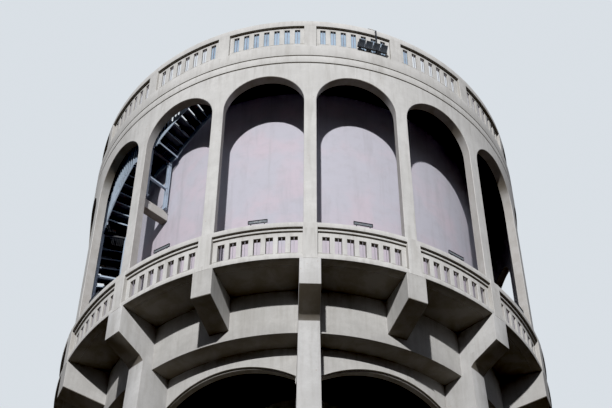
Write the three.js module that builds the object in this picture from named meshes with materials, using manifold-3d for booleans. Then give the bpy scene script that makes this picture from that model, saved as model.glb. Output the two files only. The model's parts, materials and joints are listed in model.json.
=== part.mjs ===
// Concrete water tower: eight leaning piers carry a ring beam on brackets, an arcaded gallery
// round a plastered tank, a steel stair inside the gallery and a balustraded terrace on top.
// Millimetres, +Z up. The origin is the centre of the tower's footprint on the ground.
// Plan angles are in degrees from -Y (the front) towards +X, and gallery levels count from
// the underside of the gallery floor.
import * as THREE from 'three';
import { mergeVertices } from 'three/addons/utils/BufferGeometryUtils.js';
import Module from 'manifold-3d';

const wasm = await Module();
wasm.setup();

// Driving dimensions
const GALLERY_BASE = 24000;
const BAYS = 16;
const BAY_ANGLE = 360 / BAYS;
const PIER_COUNT = 8;
const PIER_ANGLE = 360 / PIER_COUNT;
const RING_STEPS = 48;
const GAP = 0.3;
const OVERLAP = 20;
// How far a cutting solid runs past the faces it cuts, and a wedge past the widest ring
const CUTTER_REACH = 400;
const WEDGE_REACH = 9000;

// Piers lean outwards going down and grow wider towards the ground
const PIER = {
  innerRadius: 4680, topRadius: 5880, footRadius: 6450, topHalfWidth: 260, footHalfWidth: 460,
  neckLevel: -1250,
};
const BRACKET = { halfWidth: 258, outerRadius: 6686, noseLevel: -836, heelRadius: 5950, heelLevel: -1010 };

// Arched rings behind the piers
const ARCH_RING = { innerRadius: 4680, outerRadius: 5030, halfSpan: 1690, rise: 450, arcSteps: 10 };
const TIE_RINGS = [{ name: 'lower_arch_ring', top: 8600 }, { name: 'middle_arch_ring', top: 16300 }];
const TIE_DEPTH = 850;
const RING_BEAM = { outerRadius: 5576, baseLevel: -1366, crownLevel: -1770, archBase: -2400 };
const SIDE_BRACKET_HEEL = { radius: 5500, level: -1085 };

const FLOOR = { radius: 6450, thickness: 180 };
const GALLERY_RAIL = {
  panelInner: FLOOR.radius + GAP, panelOuter: 6620, faceRadius: 6700,
  plinthTop: 140, slotBase: 285, slotTop: 795, slotWidth: 177, slotPitch: 2.594,
  copingBase: 1080, copingTop: 1310, copingInner: 6342, pierHalfWidth: 186, pierRadius: 6690,
};
const SLOTS_PER_BAY = 7;

const ARCADE = {
  innerRadius: 6342, outerRadius: 6592, base: 1310, top: 7876, halfSpan: 1115, crown: 7335, arcSteps: 12,
  columnHalfWidth: 176,
};
const CORNICE = { top: 8247, grooveHeight: 28, grooveDepth: 30 };
const TERRACE = { base: 8050, top: 8247 };
const TOP_RAIL = {
  panelInner: 6330, panelOuter: 6480, faceRadius: 6592,
  plinthTop: 8700, slotBase: 8950, slotTop: 9620, slotWidth: 152, slotPitch: 2.66,
  copingBase: 9720, copingTop: 10000, copingRadius: 6560, copingTopRadius: 6535,
  pierHalfWidth: 174, pierRadius: 6540,
};

const TANK = { outerRadius: 5370, wall: 200, floorThickness: 300 };
const SHAFT = { outerRadius: 1500, wall: 200, sides: 24, doorHalfWidth: 500, doorHeight: 2200 };

// Steel stair round the tank, climbing anticlockwise seen from above
const STAIR = { innerRadius: 5500, outerRadius: 6250, treadAngle: 2.1, plate: 40 };
const STRINGER = { thickness: 14, depth: 240 };
const FLIGHTS = [
  { name: 'stair_flight_1', startAngle: -145.3, startLevel: FLOOR.thickness, risers: 16, endLevel: 2950 },
  { name: 'stair_flight_2', startAngle: -107.5, startLevel: 2950, risers: 16, endLevel: 5660 },
  { name: 'stair_flight_3', startAngle: -66.3, startLevel: 5660, risers: 7, endLevel: 6830 },
  { name: 'stair_flight_4', startAngle: -42.4, startLevel: 6830, risers: 8, endLevel: TERRACE.top },
];
const LANDINGS = [
  { name: 'stair_landing_1', from: -113.8, to: -107.5, level: 2950 },
  { name: 'stair_landing_2', from: -76.0, to: -66.3, level: 5660 },
  { name: 'stair_landing_3', from: -53.7, to: -42.4, level: 6830 },
];
const STAIRWELL = { from: -44.5, to: -27.7, innerRadius: 5440, outerRadius: 6300 };
const TRESTLES = [
  { name: 'stair_trestle_1', angle: -110.6, foot: FLOOR.thickness, head: 2950, tie: 1500 },
  { name: 'stair_trestle_2', angle: -69.4, foot: FLOOR.thickness, head: 5660, tie: 3700 },
  { name: 'stair_trestle_3', angle: -45.4, foot: 4600, head: 6830, tie: 5650 },
];
const POST_SIZE = 70;
const POST_RADII = [5535, 6215];
const TIE_BAR_INSET = 8;
const CONSOLE = { angle: -48.4, halfWidth: 260, outerRadius: 6290, base: 4270, top: 4600 };

// A thin curved sheet stands behind the front bays of the terrace balustrade
const SCREEN = { innerRadius: 6290, outerRadius: 6316, halfAngle: 27.5, top: 9660 };

// Floodlights hang outside the terrace balustrade, from an arm bolted to a plate on its coping
const LAMP = { width: 205, height: 214, depth: 110, backScale: 0.65, tilt: 40, tabHalfWidth: 15 };
const LAMP_BANK = { angle: 15.85, radius: 6610, level: 9070, spacing: 226, count: 4 };
const LAMP_RAIL = { radius: 6565, base: 8945, top: 8985, tabTop: 9020 };
const LAMP_ARM = { angle: 17, halfWidth: 20 };
const LAMP_PLATE = { angle: 16.1, halfWidth: 120, innerRadius: 6385, thickness: 20 };
const JUNCTION_BOX = { angle: 15.95, halfWidth: 82, innerRadius: 6400, outerRadius: 6530, height: 75 };

const CONCRETE = 0xc6c4be;
const PLASTER = 0xc9bcc8;
const STEEL = 0x8fa6bd;
const DARK_METAL = 0x2c2f36;
const PALE_SHEET = 0x9fb8d0;

const toRadians = THREE.MathUtils.degToRad;
const level = (height) => GALLERY_BASE + height;

function outward(angle) {
  return new THREE.Vector3(Math.sin(toRadians(angle)), -Math.cos(toRadians(angle)), 0);
}

function sideways(angle) {
  return new THREE.Vector3(Math.cos(toRadians(angle)), Math.sin(toRadians(angle)), 0);
}

// A closed three.js geometry as a solid
function solid(geometry) {
  geometry.deleteAttribute('normal');
  geometry.deleteAttribute('uv');
  const merged = mergeVertices(geometry);
  const vertProperties = new Float32Array(merged.attributes.position.array);
  const triVerts = new Uint32Array(merged.index.array);
  return new wasm.Manifold(new wasm.Mesh({ numProp: 3, vertProperties, triVerts }));
}

function join(solids) {
  return solids.reduce((sum, next) => sum.add(next));
}

function cut(body, tools) {
  return tools.reduce((rest, tool) => rest.subtract(tool), body);
}

function outline(points) {
  return new THREE.Shape(points.map(([x, y]) => new THREE.Vector2(x, y)));
}

// A closed profile of [radius, level] points, counter-clockwise, turned about the tower's axis
function turned(points, steps = RING_STEPS) {
  const profile = [...points, points[0]].map(([radius, z]) => new THREE.Vector2(radius, level(z)));
  return solid(new THREE.LatheGeometry(profile, steps).rotateX(Math.PI / 2));
}

// An upright prism over a sector of the plan
function sector(innerRadius, outerRadius, from, to, base, top) {
  const count = Math.max(1, Math.round((to - from) / (360 / RING_STEPS)));
  const angles = Array.from({ length: count + 1 }, (_, i) => from + ((to - from) * i) / count);
  const rim = (radius, list) => list.map((angle) => outward(angle).multiplyScalar(radius));
  const points = [...rim(outerRadius, angles), ...rim(innerRadius, angles.slice().reverse())];
  const shape = outline(points.map((point) => [point.x, point.y]));
  const geometry = new THREE.ExtrudeGeometry(shape, { depth: top - base, bevelEnabled: false });
  return solid(geometry.translate(0, 0, level(base)));
}

// A profile of [radius, level] points, given its width across the radius
function rib(points, angle, halfWidth) {
  const shape = outline(points.map(([radius, z]) => [radius, level(z)]));
  const geometry = new THREE.ExtrudeGeometry(shape, { depth: 2 * halfWidth, bevelEnabled: false });
  const frame = new THREE.Matrix4().makeBasis(
    outward(angle), new THREE.Vector3(0, 0, 1), sideways(angle).negate());
  frame.setPosition(sideways(angle).multiplyScalar(halfWidth));
  return solid(geometry.applyMatrix4(frame));
}

// A profile of [sideways, level] points, run out along the radius
function radialPrism(points, angle, innerRadius, outerRadius) {
  const shape = outline(points.map(([t, z]) => [t, level(z)]));
  const depth = outerRadius - innerRadius;
  const geometry = new THREE.ExtrudeGeometry(shape, { depth, bevelEnabled: false });
  const frame = new THREE.Matrix4().makeBasis(
    sideways(angle), new THREE.Vector3(0, 0, 1), outward(angle));
  frame.setPosition(outward(angle).multiplyScalar(innerRadius));
  return solid(geometry.applyMatrix4(frame));
}

function radialBox(angle, halfWidth, innerRadius, outerRadius, base, top) {
  const points = [[-halfWidth, base], [halfWidth, base], [halfWidth, top], [-halfWidth, top]];
  return radialPrism(points, angle, innerRadius, outerRadius);
}

// A wedge of the plan, used to part a ring into quarters
function wedge(from, to, base, top) {
  const corners = [from, (from + to) / 2, to].map((angle) => outward(angle).multiplyScalar(WEDGE_REACH));
  const shape = outline([[0, 0], ...corners.map((corner) => [corner.x, corner.y])]);
  const geometry = new THREE.ExtrudeGeometry(shape, { depth: top - base, bevelEnabled: false });
  return solid(geometry.translate(0, 0, level(base)));
}

// Splits a ring at four of its piers, beside the pier so that each pier stays whole
function quarters(ring, halfWidth, radius, base, top) {
  const offset = THREE.MathUtils.radToDeg(halfWidth / radius);
  const slack = THREE.MathUtils.radToDeg(GAP / 2 / radius);
  return [0, 1, 2, 3].map((k) => {
    const from = 90 * k - offset + slack;
    return ring.intersect(wedge(from, from + 90 - 2 * slack, base - OVERLAP, top + OVERLAP));
  });
}

const group = new THREE.Group();

function addNode(name, body, color, roughness = 0.85, metalness = 0) {
  const { numProp, vertProperties, triVerts } = body.getMesh();
  const geometry = new THREE.BufferGeometry();
  geometry.setAttribute('position', new THREE.BufferAttribute(new Float32Array(vertProperties), numProp));
  geometry.setIndex(new THREE.BufferAttribute(new Uint32Array(triVerts), 1));
  geometry.computeVertexNormals();
  const mesh = new THREE.Mesh(geometry, new THREE.MeshStandardMaterial({ color, roughness, metalness }));
  mesh.name = name;
  group.add(mesh);
}

// Arched opening, from a flat base up to a segmental or round head
function archOutline(halfSpan, base, springing, crown, steps) {
  const rise = crown - springing;
  const radius = (halfSpan * halfSpan + rise * rise) / (2 * rise);
  const reach = Math.asin(Math.min(1, halfSpan / radius));
  const points = [[-halfSpan, base], [halfSpan, base]];
  for (let i = 0; i <= steps; i += 1) {
    const turn = reach - (2 * reach * i) / steps;
    points.push([radius * Math.sin(turn), crown - radius + radius * Math.cos(turn)]);
  }
  return points;
}

function archedRing(base, top, crown) {
  const { innerRadius, outerRadius, halfSpan, rise, arcSteps } = ARCH_RING;
  const ring = turned([[innerRadius, base], [outerRadius, base], [outerRadius, top], [innerRadius, top]]);
  const opening = archOutline(halfSpan, base - OVERLAP, crown - rise, crown, arcSteps);
  const tools = [];
  for (let k = 0; k < PIER_COUNT; k += 1) {
    const angle = PIER_ANGLE * (k + 0.5);
    tools.push(radialPrism(opening, angle, innerRadius - CUTTER_REACH, outerRadius + CUTTER_REACH));
  }
  return cut(ring, tools);
}

// The ring beam with its brackets midway between the piers, over the top arches
function galleryRing() {
  const { outerRadius, baseLevel, crownLevel, archBase } = RING_BEAM;
  const beam = turned([
    [ARCH_RING.innerRadius, baseLevel], [outerRadius, baseLevel],
    [outerRadius, -GAP], [ARCH_RING.innerRadius, -GAP],
  ]);
  const arches = archedRing(archBase, baseLevel + OVERLAP, crownLevel);
  const brackets = [];
  for (let k = 0; k < PIER_COUNT; k += 1) {
    const profile = [
      [SIDE_BRACKET_HEEL.radius, SIDE_BRACKET_HEEL.level], [BRACKET.outerRadius, BRACKET.noseLevel],
      [BRACKET.outerRadius, -GAP], [SIDE_BRACKET_HEEL.radius, -GAP],
    ];
    brackets.push(rib(profile, PIER_ANGLE * (k + 0.5), BRACKET.halfWidth));
  }
  return join([beam, arches, ...brackets]);
}

// The tapered shaft of a pier below its neck
function pierShaft(angle) {
  const { innerRadius, topRadius, footRadius, topHalfWidth, footHalfWidth, neckLevel } = PIER;
  const geometry = new THREE.BoxGeometry(1, 1, 1);
  const position = geometry.attributes.position;
  for (let i = 0; i < position.count; i += 1) {
    const upper = position.getZ(i) > 0;
    const outer = position.getX(i) > 0;
    const faceRadius = upper ? topRadius : footRadius;
    const halfWidth = upper ? topHalfWidth : footHalfWidth;
    const along = outward(angle).multiplyScalar(outer ? faceRadius : innerRadius);
    const across = sideways(angle).multiplyScalar(Math.sign(position.getY(i)) * halfWidth);
    position.setXYZ(i, along.x + across.x, along.y + across.y, upper ? level(neckLevel) : 0);
  }
  return solid(geometry);
}

function pier(angle, notches) {
  const head = rib([
    [PIER.innerRadius, PIER.neckLevel - OVERLAP], [PIER.topRadius, PIER.neckLevel - OVERLAP],
    [PIER.topRadius, PIER.neckLevel], [BRACKET.heelRadius, BRACKET.heelLevel],
    [BRACKET.outerRadius, BRACKET.noseLevel], [BRACKET.outerRadius, -GAP], [PIER.innerRadius, -GAP],
  ], angle, BRACKET.halfWidth);
  return cut(join([pierShaft(angle), head]), notches);
}

function ringNotch(outerRadius, base, top) {
  const inner = ARCH_RING.innerRadius - CUTTER_REACH;
  return turned([
    [inner, base - GAP], [outerRadius + GAP, base - GAP], [outerRadius + GAP, top + GAP], [inner, top + GAP],
  ]);
}

// A balustrade ring: plinth, slotted panel, coping and a pier at each bay line
function balustrade(rail, plinthBase, profile) {
  const ring = turned(profile);
  const piers = [];
  const slots = [];
  for (let k = 0; k < BAYS; k += 1) {
    const angle = k * BAY_ANGLE;
    piers.push(radialBox(angle, rail.pierHalfWidth, rail.panelInner + OVERLAP, rail.pierRadius,
      plinthBase + OVERLAP, rail.copingBase + OVERLAP));
    for (let i = 0; i < SLOTS_PER_BAY; i += 1) {
      const slotAngle = angle + BAY_ANGLE / 2 + (i - (SLOTS_PER_BAY - 1) / 2) * rail.slotPitch;
      slots.push(radialBox(slotAngle, rail.slotWidth / 2, rail.panelInner - CUTTER_REACH,
        rail.panelOuter + CUTTER_REACH, rail.slotBase, rail.slotTop));
    }
  }
  return join([cut(ring, slots), ...piers]);
}

function galleryBalustrade() {
  const r = GALLERY_RAIL;
  return balustrade(r, 0, [
    [r.panelInner, 0], [r.faceRadius, 0], [r.faceRadius, r.plinthTop], [r.panelOuter, r.plinthTop],
    [r.panelOuter, r.copingBase], [r.faceRadius, r.copingBase], [r.faceRadius, r.copingTop],
    [r.copingInner, r.copingTop], [r.copingInner, r.copingBase], [r.panelInner, r.copingBase],
  ]);
}

function terraceBalustrade() {
  const r = TOP_RAIL;
  const base = CORNICE.top + GAP;
  return balustrade(r, base, [
    [r.panelInner, base], [r.faceRadius, base], [r.faceRadius, r.plinthTop], [r.panelOuter, r.plinthTop],
    [r.panelOuter, r.copingBase], [r.copingRadius, r.copingBase], [r.copingTopRadius, r.copingTop],
    [r.panelInner, r.copingTop],
  ]);
}

function arcade() {
  const { innerRadius, outerRadius, base, top, halfSpan, crown, arcSteps } = ARCADE;
  const low = base + GAP;
  const high = top - GAP;
  const ring = turned([[innerRadius, low], [outerRadius, low], [outerRadius, high], [innerRadius, high]]);
  const opening = archOutline(halfSpan, low - OVERLAP, crown - halfSpan, crown, arcSteps);
  const tools = [];
  for (let k = 0; k < BAYS; k += 1) {
    const angle = (k + 0.5) * BAY_ANGLE;
    tools.push(radialPrism(opening, angle, innerRadius - CUTTER_REACH, outerRadius + CUTTER_REACH));
  }
  return cut(ring, tools);
}

function cornice() {
  const inner = ARCADE.innerRadius;
  const outer = ARCADE.outerRadius;
  const groove = outer - CORNICE.grooveDepth;
  const base = ARCADE.top;
  const top = CORNICE.top;
  return turned([
    [inner, base], [groove, base], [groove, base + CORNICE.grooveHeight],
    [outer, base + CORNICE.grooveHeight], [outer, top - CORNICE.grooveHeight],
    [groove, top - CORNICE.grooveHeight], [groove, top], [inner, top],
  ]);
}

function disc(radius, base, top) {
  return solid(new THREE.CylinderGeometry(radius, radius, top - base, RING_STEPS)
    .rotateX(Math.PI / 2).rotateZ(-Math.PI / 2).translate(0, 0, level((base + top) / 2)));
}

function terraceFloor() {
  const plate = disc(ARCADE.innerRadius - GAP, TERRACE.base, TERRACE.top);
  const { innerRadius, outerRadius, from, to } = STAIRWELL;
  return plate.subtract(sector(
    innerRadius, outerRadius, from, to, TERRACE.base - OVERLAP, TERRACE.top + OVERLAP));
}

function centralShaft() {
  const { outerRadius, wall, sides, doorHalfWidth, doorHeight } = SHAFT;
  const base = -GALLERY_BASE;
  const tube = turned([
    [outerRadius - wall, base], [outerRadius, base], [outerRadius, -GAP], [outerRadius - wall, -GAP],
  ], sides);
  const doorway = radialBox(0, doorHalfWidth, outerRadius - wall - CUTTER_REACH, outerRadius + CUTTER_REACH,
    base - OVERLAP, base + doorHeight);
  return tube.subtract(doorway);
}

// Open treads between two stepped stringers
function stairFlight({ startAngle, startLevel, risers, endLevel }) {
  const { innerRadius, outerRadius, treadAngle, plate } = STAIR;
  const { thickness, depth } = STRINGER;
  const rise = (endLevel - startLevel) / risers;
  const clearance = THREE.MathUtils.radToDeg(GAP / innerRadius);
  const angles = Array.from({ length: risers }, (_, i) => startAngle + i * treadAngle);
  angles[0] += clearance;
  angles[risers - 1] -= clearance;
  const pieces = [];
  for (let i = 1; i < risers; i += 1) {
    const [from, to] = [angles[i - 1], angles[i]];
    const top = startLevel + i * rise;
    const base = Math.max(top - depth, FLOOR.thickness + GAP);
    pieces.push(sector(innerRadius + thickness, outerRadius - thickness, from, to, top - plate, top));
    pieces.push(sector(innerRadius, innerRadius + thickness, from, to, base, top));
    pieces.push(sector(outerRadius - thickness, outerRadius, from, to, base, top));
  }
  return join(pieces);
}

function stairLanding({ from, to, level: top }) {
  const { innerRadius, outerRadius, plate } = STAIR;
  const deck = sector(innerRadius, outerRadius, from, to, top - plate, top);
  const edges = [innerRadius, outerRadius - STRINGER.thickness].map((radius) => sector(
    radius, radius + STRINGER.thickness, from, to, top - STRINGER.depth, top - plate / 2));
  return join([deck, ...edges]);
}

function stairTrestle({ angle, foot, head, tie }) {
  const half = POST_SIZE / 2;
  const base = foot + GAP;
  const top = head - STRINGER.depth - GAP;
  const [inner, outer] = POST_RADII;
  const posts = [inner, outer].map((r) => radialBox(angle, half, r - half, r + half, base, top));
  const bars = [tie, top - POST_SIZE].map((z) => radialBox(
    angle, half - TIE_BAR_INSET, inner, outer, z, z + POST_SIZE));
  return join([...posts, ...bars]);
}

// A short slab built out from the tank's wall, shaped to its face
function stairConsole() {
  const { angle, halfWidth, outerRadius, base, top } = CONSOLE;
  const block = radialBox(angle, halfWidth, TANK.outerRadius - TANK.wall, outerRadius, base, top);
  return block.subtract(disc(TANK.outerRadius + GAP, base - OVERLAP, top + OVERLAP));
}

function terraceScreen() {
  const { innerRadius, outerRadius, halfAngle, top } = SCREEN;
  return sector(innerRadius, outerRadius, -halfAngle, halfAngle, CORNICE.top + GAP, top);
}

// A lamp's housing, wide at its glass and tilted down towards the ground
function lampHead(offset) {
  const { width, height, depth, backScale, tilt } = LAMP;
  const { angle, radius, level: height0 } = LAMP_BANK;
  const geometry = new THREE.BoxGeometry(width, height, depth);
  const position = geometry.attributes.position;
  for (let i = 0; i < position.count; i += 1) {
    const scale = position.getZ(i) > 0 ? 1 : backScale;
    position.setXYZ(i, position.getX(i) * scale, position.getY(i) * scale, position.getZ(i));
  }
  const frame = new THREE.Matrix4().makeBasis(
    sideways(angle), new THREE.Vector3(0, 0, 1), outward(angle));
  const place = outward(angle).multiplyScalar(radius)
    .addScaledVector(sideways(angle), offset).setZ(level(height0));
  geometry.rotateX(toRadians(tilt)).applyMatrix4(frame.setPosition(place));
  return solid(geometry);
}

function floodlights() {
  const { angle, spacing, count } = LAMP_BANK;
  const { radius, base, top, tabTop } = LAMP_RAIL;
  const half = LAMP_ARM.halfWidth;
  const coping = TOP_RAIL.copingTop + GAP;
  const plateTop = coping + LAMP_PLATE.thickness;
  const rail = radialBox(angle, (spacing * count) / 2, radius - half, radius + half, base, top);
  const arm = radialBox(LAMP_ARM.angle, half, radius, radius + 2 * half, base, plateTop);
  const plate = radialBox(LAMP_PLATE.angle, LAMP_PLATE.halfWidth, LAMP_PLATE.innerRadius,
    radius + 2 * half, coping, plateTop);
  const box = radialBox(JUNCTION_BOX.angle, JUNCTION_BOX.halfWidth, JUNCTION_BOX.innerRadius,
    JUNCTION_BOX.outerRadius, plateTop - GAP, plateTop + JUNCTION_BOX.height);
  const heads = [];
  for (let i = 0; i < count; i += 1) {
    const offset = (i - (count - 1) / 2) * spacing;
    const tab = radialBox(angle, LAMP.tabHalfWidth, radius - half, radius + half, base, tabTop)
      .translate(sideways(angle).multiplyScalar(offset).toArray());
    heads.push(tab, lampHead(offset));
  }
  return join([rail, arm, plate, box, ...heads]);
}

const tieNotches = TIE_RINGS.map(({ top }) => {
  const z = top - GALLERY_BASE;
  return ringNotch(ARCH_RING.outerRadius, z - TIE_DEPTH - ARCH_RING.rise, z);
});
const galleryNotches = [
  ringNotch(ARCH_RING.outerRadius, RING_BEAM.archBase, 0),
  ringNotch(RING_BEAM.outerRadius, RING_BEAM.baseLevel, 0),
];

for (let k = 0; k < PIER_COUNT; k += 1) {
  addNode(`pier_${k + 1}`, pier(PIER_ANGLE * k, [...tieNotches, ...galleryNotches]), CONCRETE);
}

for (const { name, top } of TIE_RINGS) {
  const z = top - GALLERY_BASE;
  addNode(name, archedRing(z - TIE_DEPTH - ARCH_RING.rise, z, z - TIE_DEPTH), CONCRETE);
}

quarters(galleryRing(), PIER.topHalfWidth + GAP, ARCH_RING.innerRadius, RING_BEAM.archBase, 0)
  .forEach((body, k) => addNode(`gallery_ring_${k + 1}`, body, CONCRETE));

addNode('gallery_floor', disc(FLOOR.radius, 0, FLOOR.thickness), CONCRETE);

quarters(galleryBalustrade(), GALLERY_RAIL.pierHalfWidth, GALLERY_RAIL.faceRadius, 0, GALLERY_RAIL.copingTop)
  .forEach((body, k) => addNode(`gallery_balustrade_${k + 1}`, body, CONCRETE));

quarters(arcade(), ARCADE.columnHalfWidth, ARCADE.outerRadius, ARCADE.base, ARCADE.top)
  .forEach((body, k) => addNode(`arcade_${k + 1}`, body, CONCRETE));

addNode('cornice', cornice(), CONCRETE);
addNode('terrace_floor', terraceFloor(), CONCRETE);

quarters(terraceBalustrade(), TOP_RAIL.pierHalfWidth, TOP_RAIL.faceRadius, CORNICE.top, TOP_RAIL.copingTop)
  .forEach((body, k) => addNode(`terrace_balustrade_${k + 1}`, body, CONCRETE));

addNode('terrace_screen', terraceScreen(), PALE_SHEET, 0.5, 0.2);

const tankBase = FLOOR.thickness + GAP;
const tankTop = TERRACE.base - GAP;
const tankInner = TANK.outerRadius - TANK.wall;
addNode('tank_wall', turned([
  [tankInner, tankBase], [TANK.outerRadius, tankBase], [TANK.outerRadius, tankTop], [tankInner, tankTop],
]), PLASTER);
addNode('tank_floor', disc(tankInner - GAP, tankBase, tankBase + TANK.floorThickness), CONCRETE);
addNode('central_shaft', centralShaft(), CONCRETE);

for (const flight of FLIGHTS) {
  addNode(flight.name, stairFlight(flight), STEEL, 0.5, 0.4);
}
for (const landing of LANDINGS) {
  addNode(landing.name, stairLanding(landing), STEEL, 0.5, 0.4);
}
for (const trestle of TRESTLES) {
  addNode(trestle.name, stairTrestle(trestle), STEEL, 0.5, 0.4);
}

addNode('stair_console', stairConsole(), CONCRETE);
addNode('floodlight_bank', floodlights(), DARK_METAL, 0.4, 0.6);

export default group;
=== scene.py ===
"""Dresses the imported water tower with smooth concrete, a plastered tank, a steel stair and lamps.

Lengths are metres in the frame's own axes: +Z up, -Y towards the viewer. Plan angles are degrees from
-Y towards +X, and gallery levels count from the underside of the gallery floor. The parts of a ring are
laid out flat first, as they look from the front at their true radius, with x the length of arc along a
reference radius, and are then bent round the tower's axis.
"""
import json
import logging
import math
from dataclasses import dataclass
from typing import Callable, Iterable, Sequence

import bmesh
import bpy
from mathutils import Matrix, Vector


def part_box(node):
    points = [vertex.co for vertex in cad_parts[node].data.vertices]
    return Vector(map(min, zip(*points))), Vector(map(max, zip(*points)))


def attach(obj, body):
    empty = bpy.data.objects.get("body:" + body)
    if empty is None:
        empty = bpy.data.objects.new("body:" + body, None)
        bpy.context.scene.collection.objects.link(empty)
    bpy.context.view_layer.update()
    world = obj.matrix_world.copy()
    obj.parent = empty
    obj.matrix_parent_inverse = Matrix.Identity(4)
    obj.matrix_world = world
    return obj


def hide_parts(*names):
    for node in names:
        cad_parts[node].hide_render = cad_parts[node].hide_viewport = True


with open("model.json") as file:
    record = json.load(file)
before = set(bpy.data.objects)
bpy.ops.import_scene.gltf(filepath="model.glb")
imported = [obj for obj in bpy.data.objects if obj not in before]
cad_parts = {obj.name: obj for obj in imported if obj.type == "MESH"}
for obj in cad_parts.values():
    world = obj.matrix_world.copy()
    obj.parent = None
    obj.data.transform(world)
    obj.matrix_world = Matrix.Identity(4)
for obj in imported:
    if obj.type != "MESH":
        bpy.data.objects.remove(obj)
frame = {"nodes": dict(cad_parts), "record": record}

LOG = logging.getLogger("water_tower")

Point = tuple[float, float]
Point3 = tuple[float, float, float]
Colour = tuple[float, float, float]
Socket = bpy.types.NodeSocket

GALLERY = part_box("gallery_floor")[0].z
BAYS = 16
BAY_ANGLE = 360.0 / BAYS
PIERS = 8
PIER_ANGLE = 360.0 / PIERS
QUARTERS = 4
QUARTER_ANGLE = 360.0 / QUARTERS
STEP_ANGLE = BAY_ANGLE / 14
WELD = 0.0002
CUT_TOLERANCE = 1e-5
SMOOTH_LIMIT = math.radians(25.0)
AXIS = Vector((0, 0, 0))
ACROSS = Vector((1, 0, 0))
UP = Vector((0, 0, 1))


def level(height: float) -> float:
    """Height over the ground of a gallery level."""
    return GALLERY + height


def turn(degrees: float, axis: str = "Z") -> Matrix:
    """Rotation about an axis; about the tower's it goes from the front towards +X."""
    return Matrix.Rotation(math.radians(degrees), 4, axis)


def arc(radius: float, degrees: float) -> float:
    """Length of an arc."""
    return radius * math.radians(degrees)


def verts_in(geometry: Iterable) -> list:
    """The vertices among the parts of a mesh."""
    return [item for item in geometry if isinstance(item, bmesh.types.BMVert)]


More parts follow.
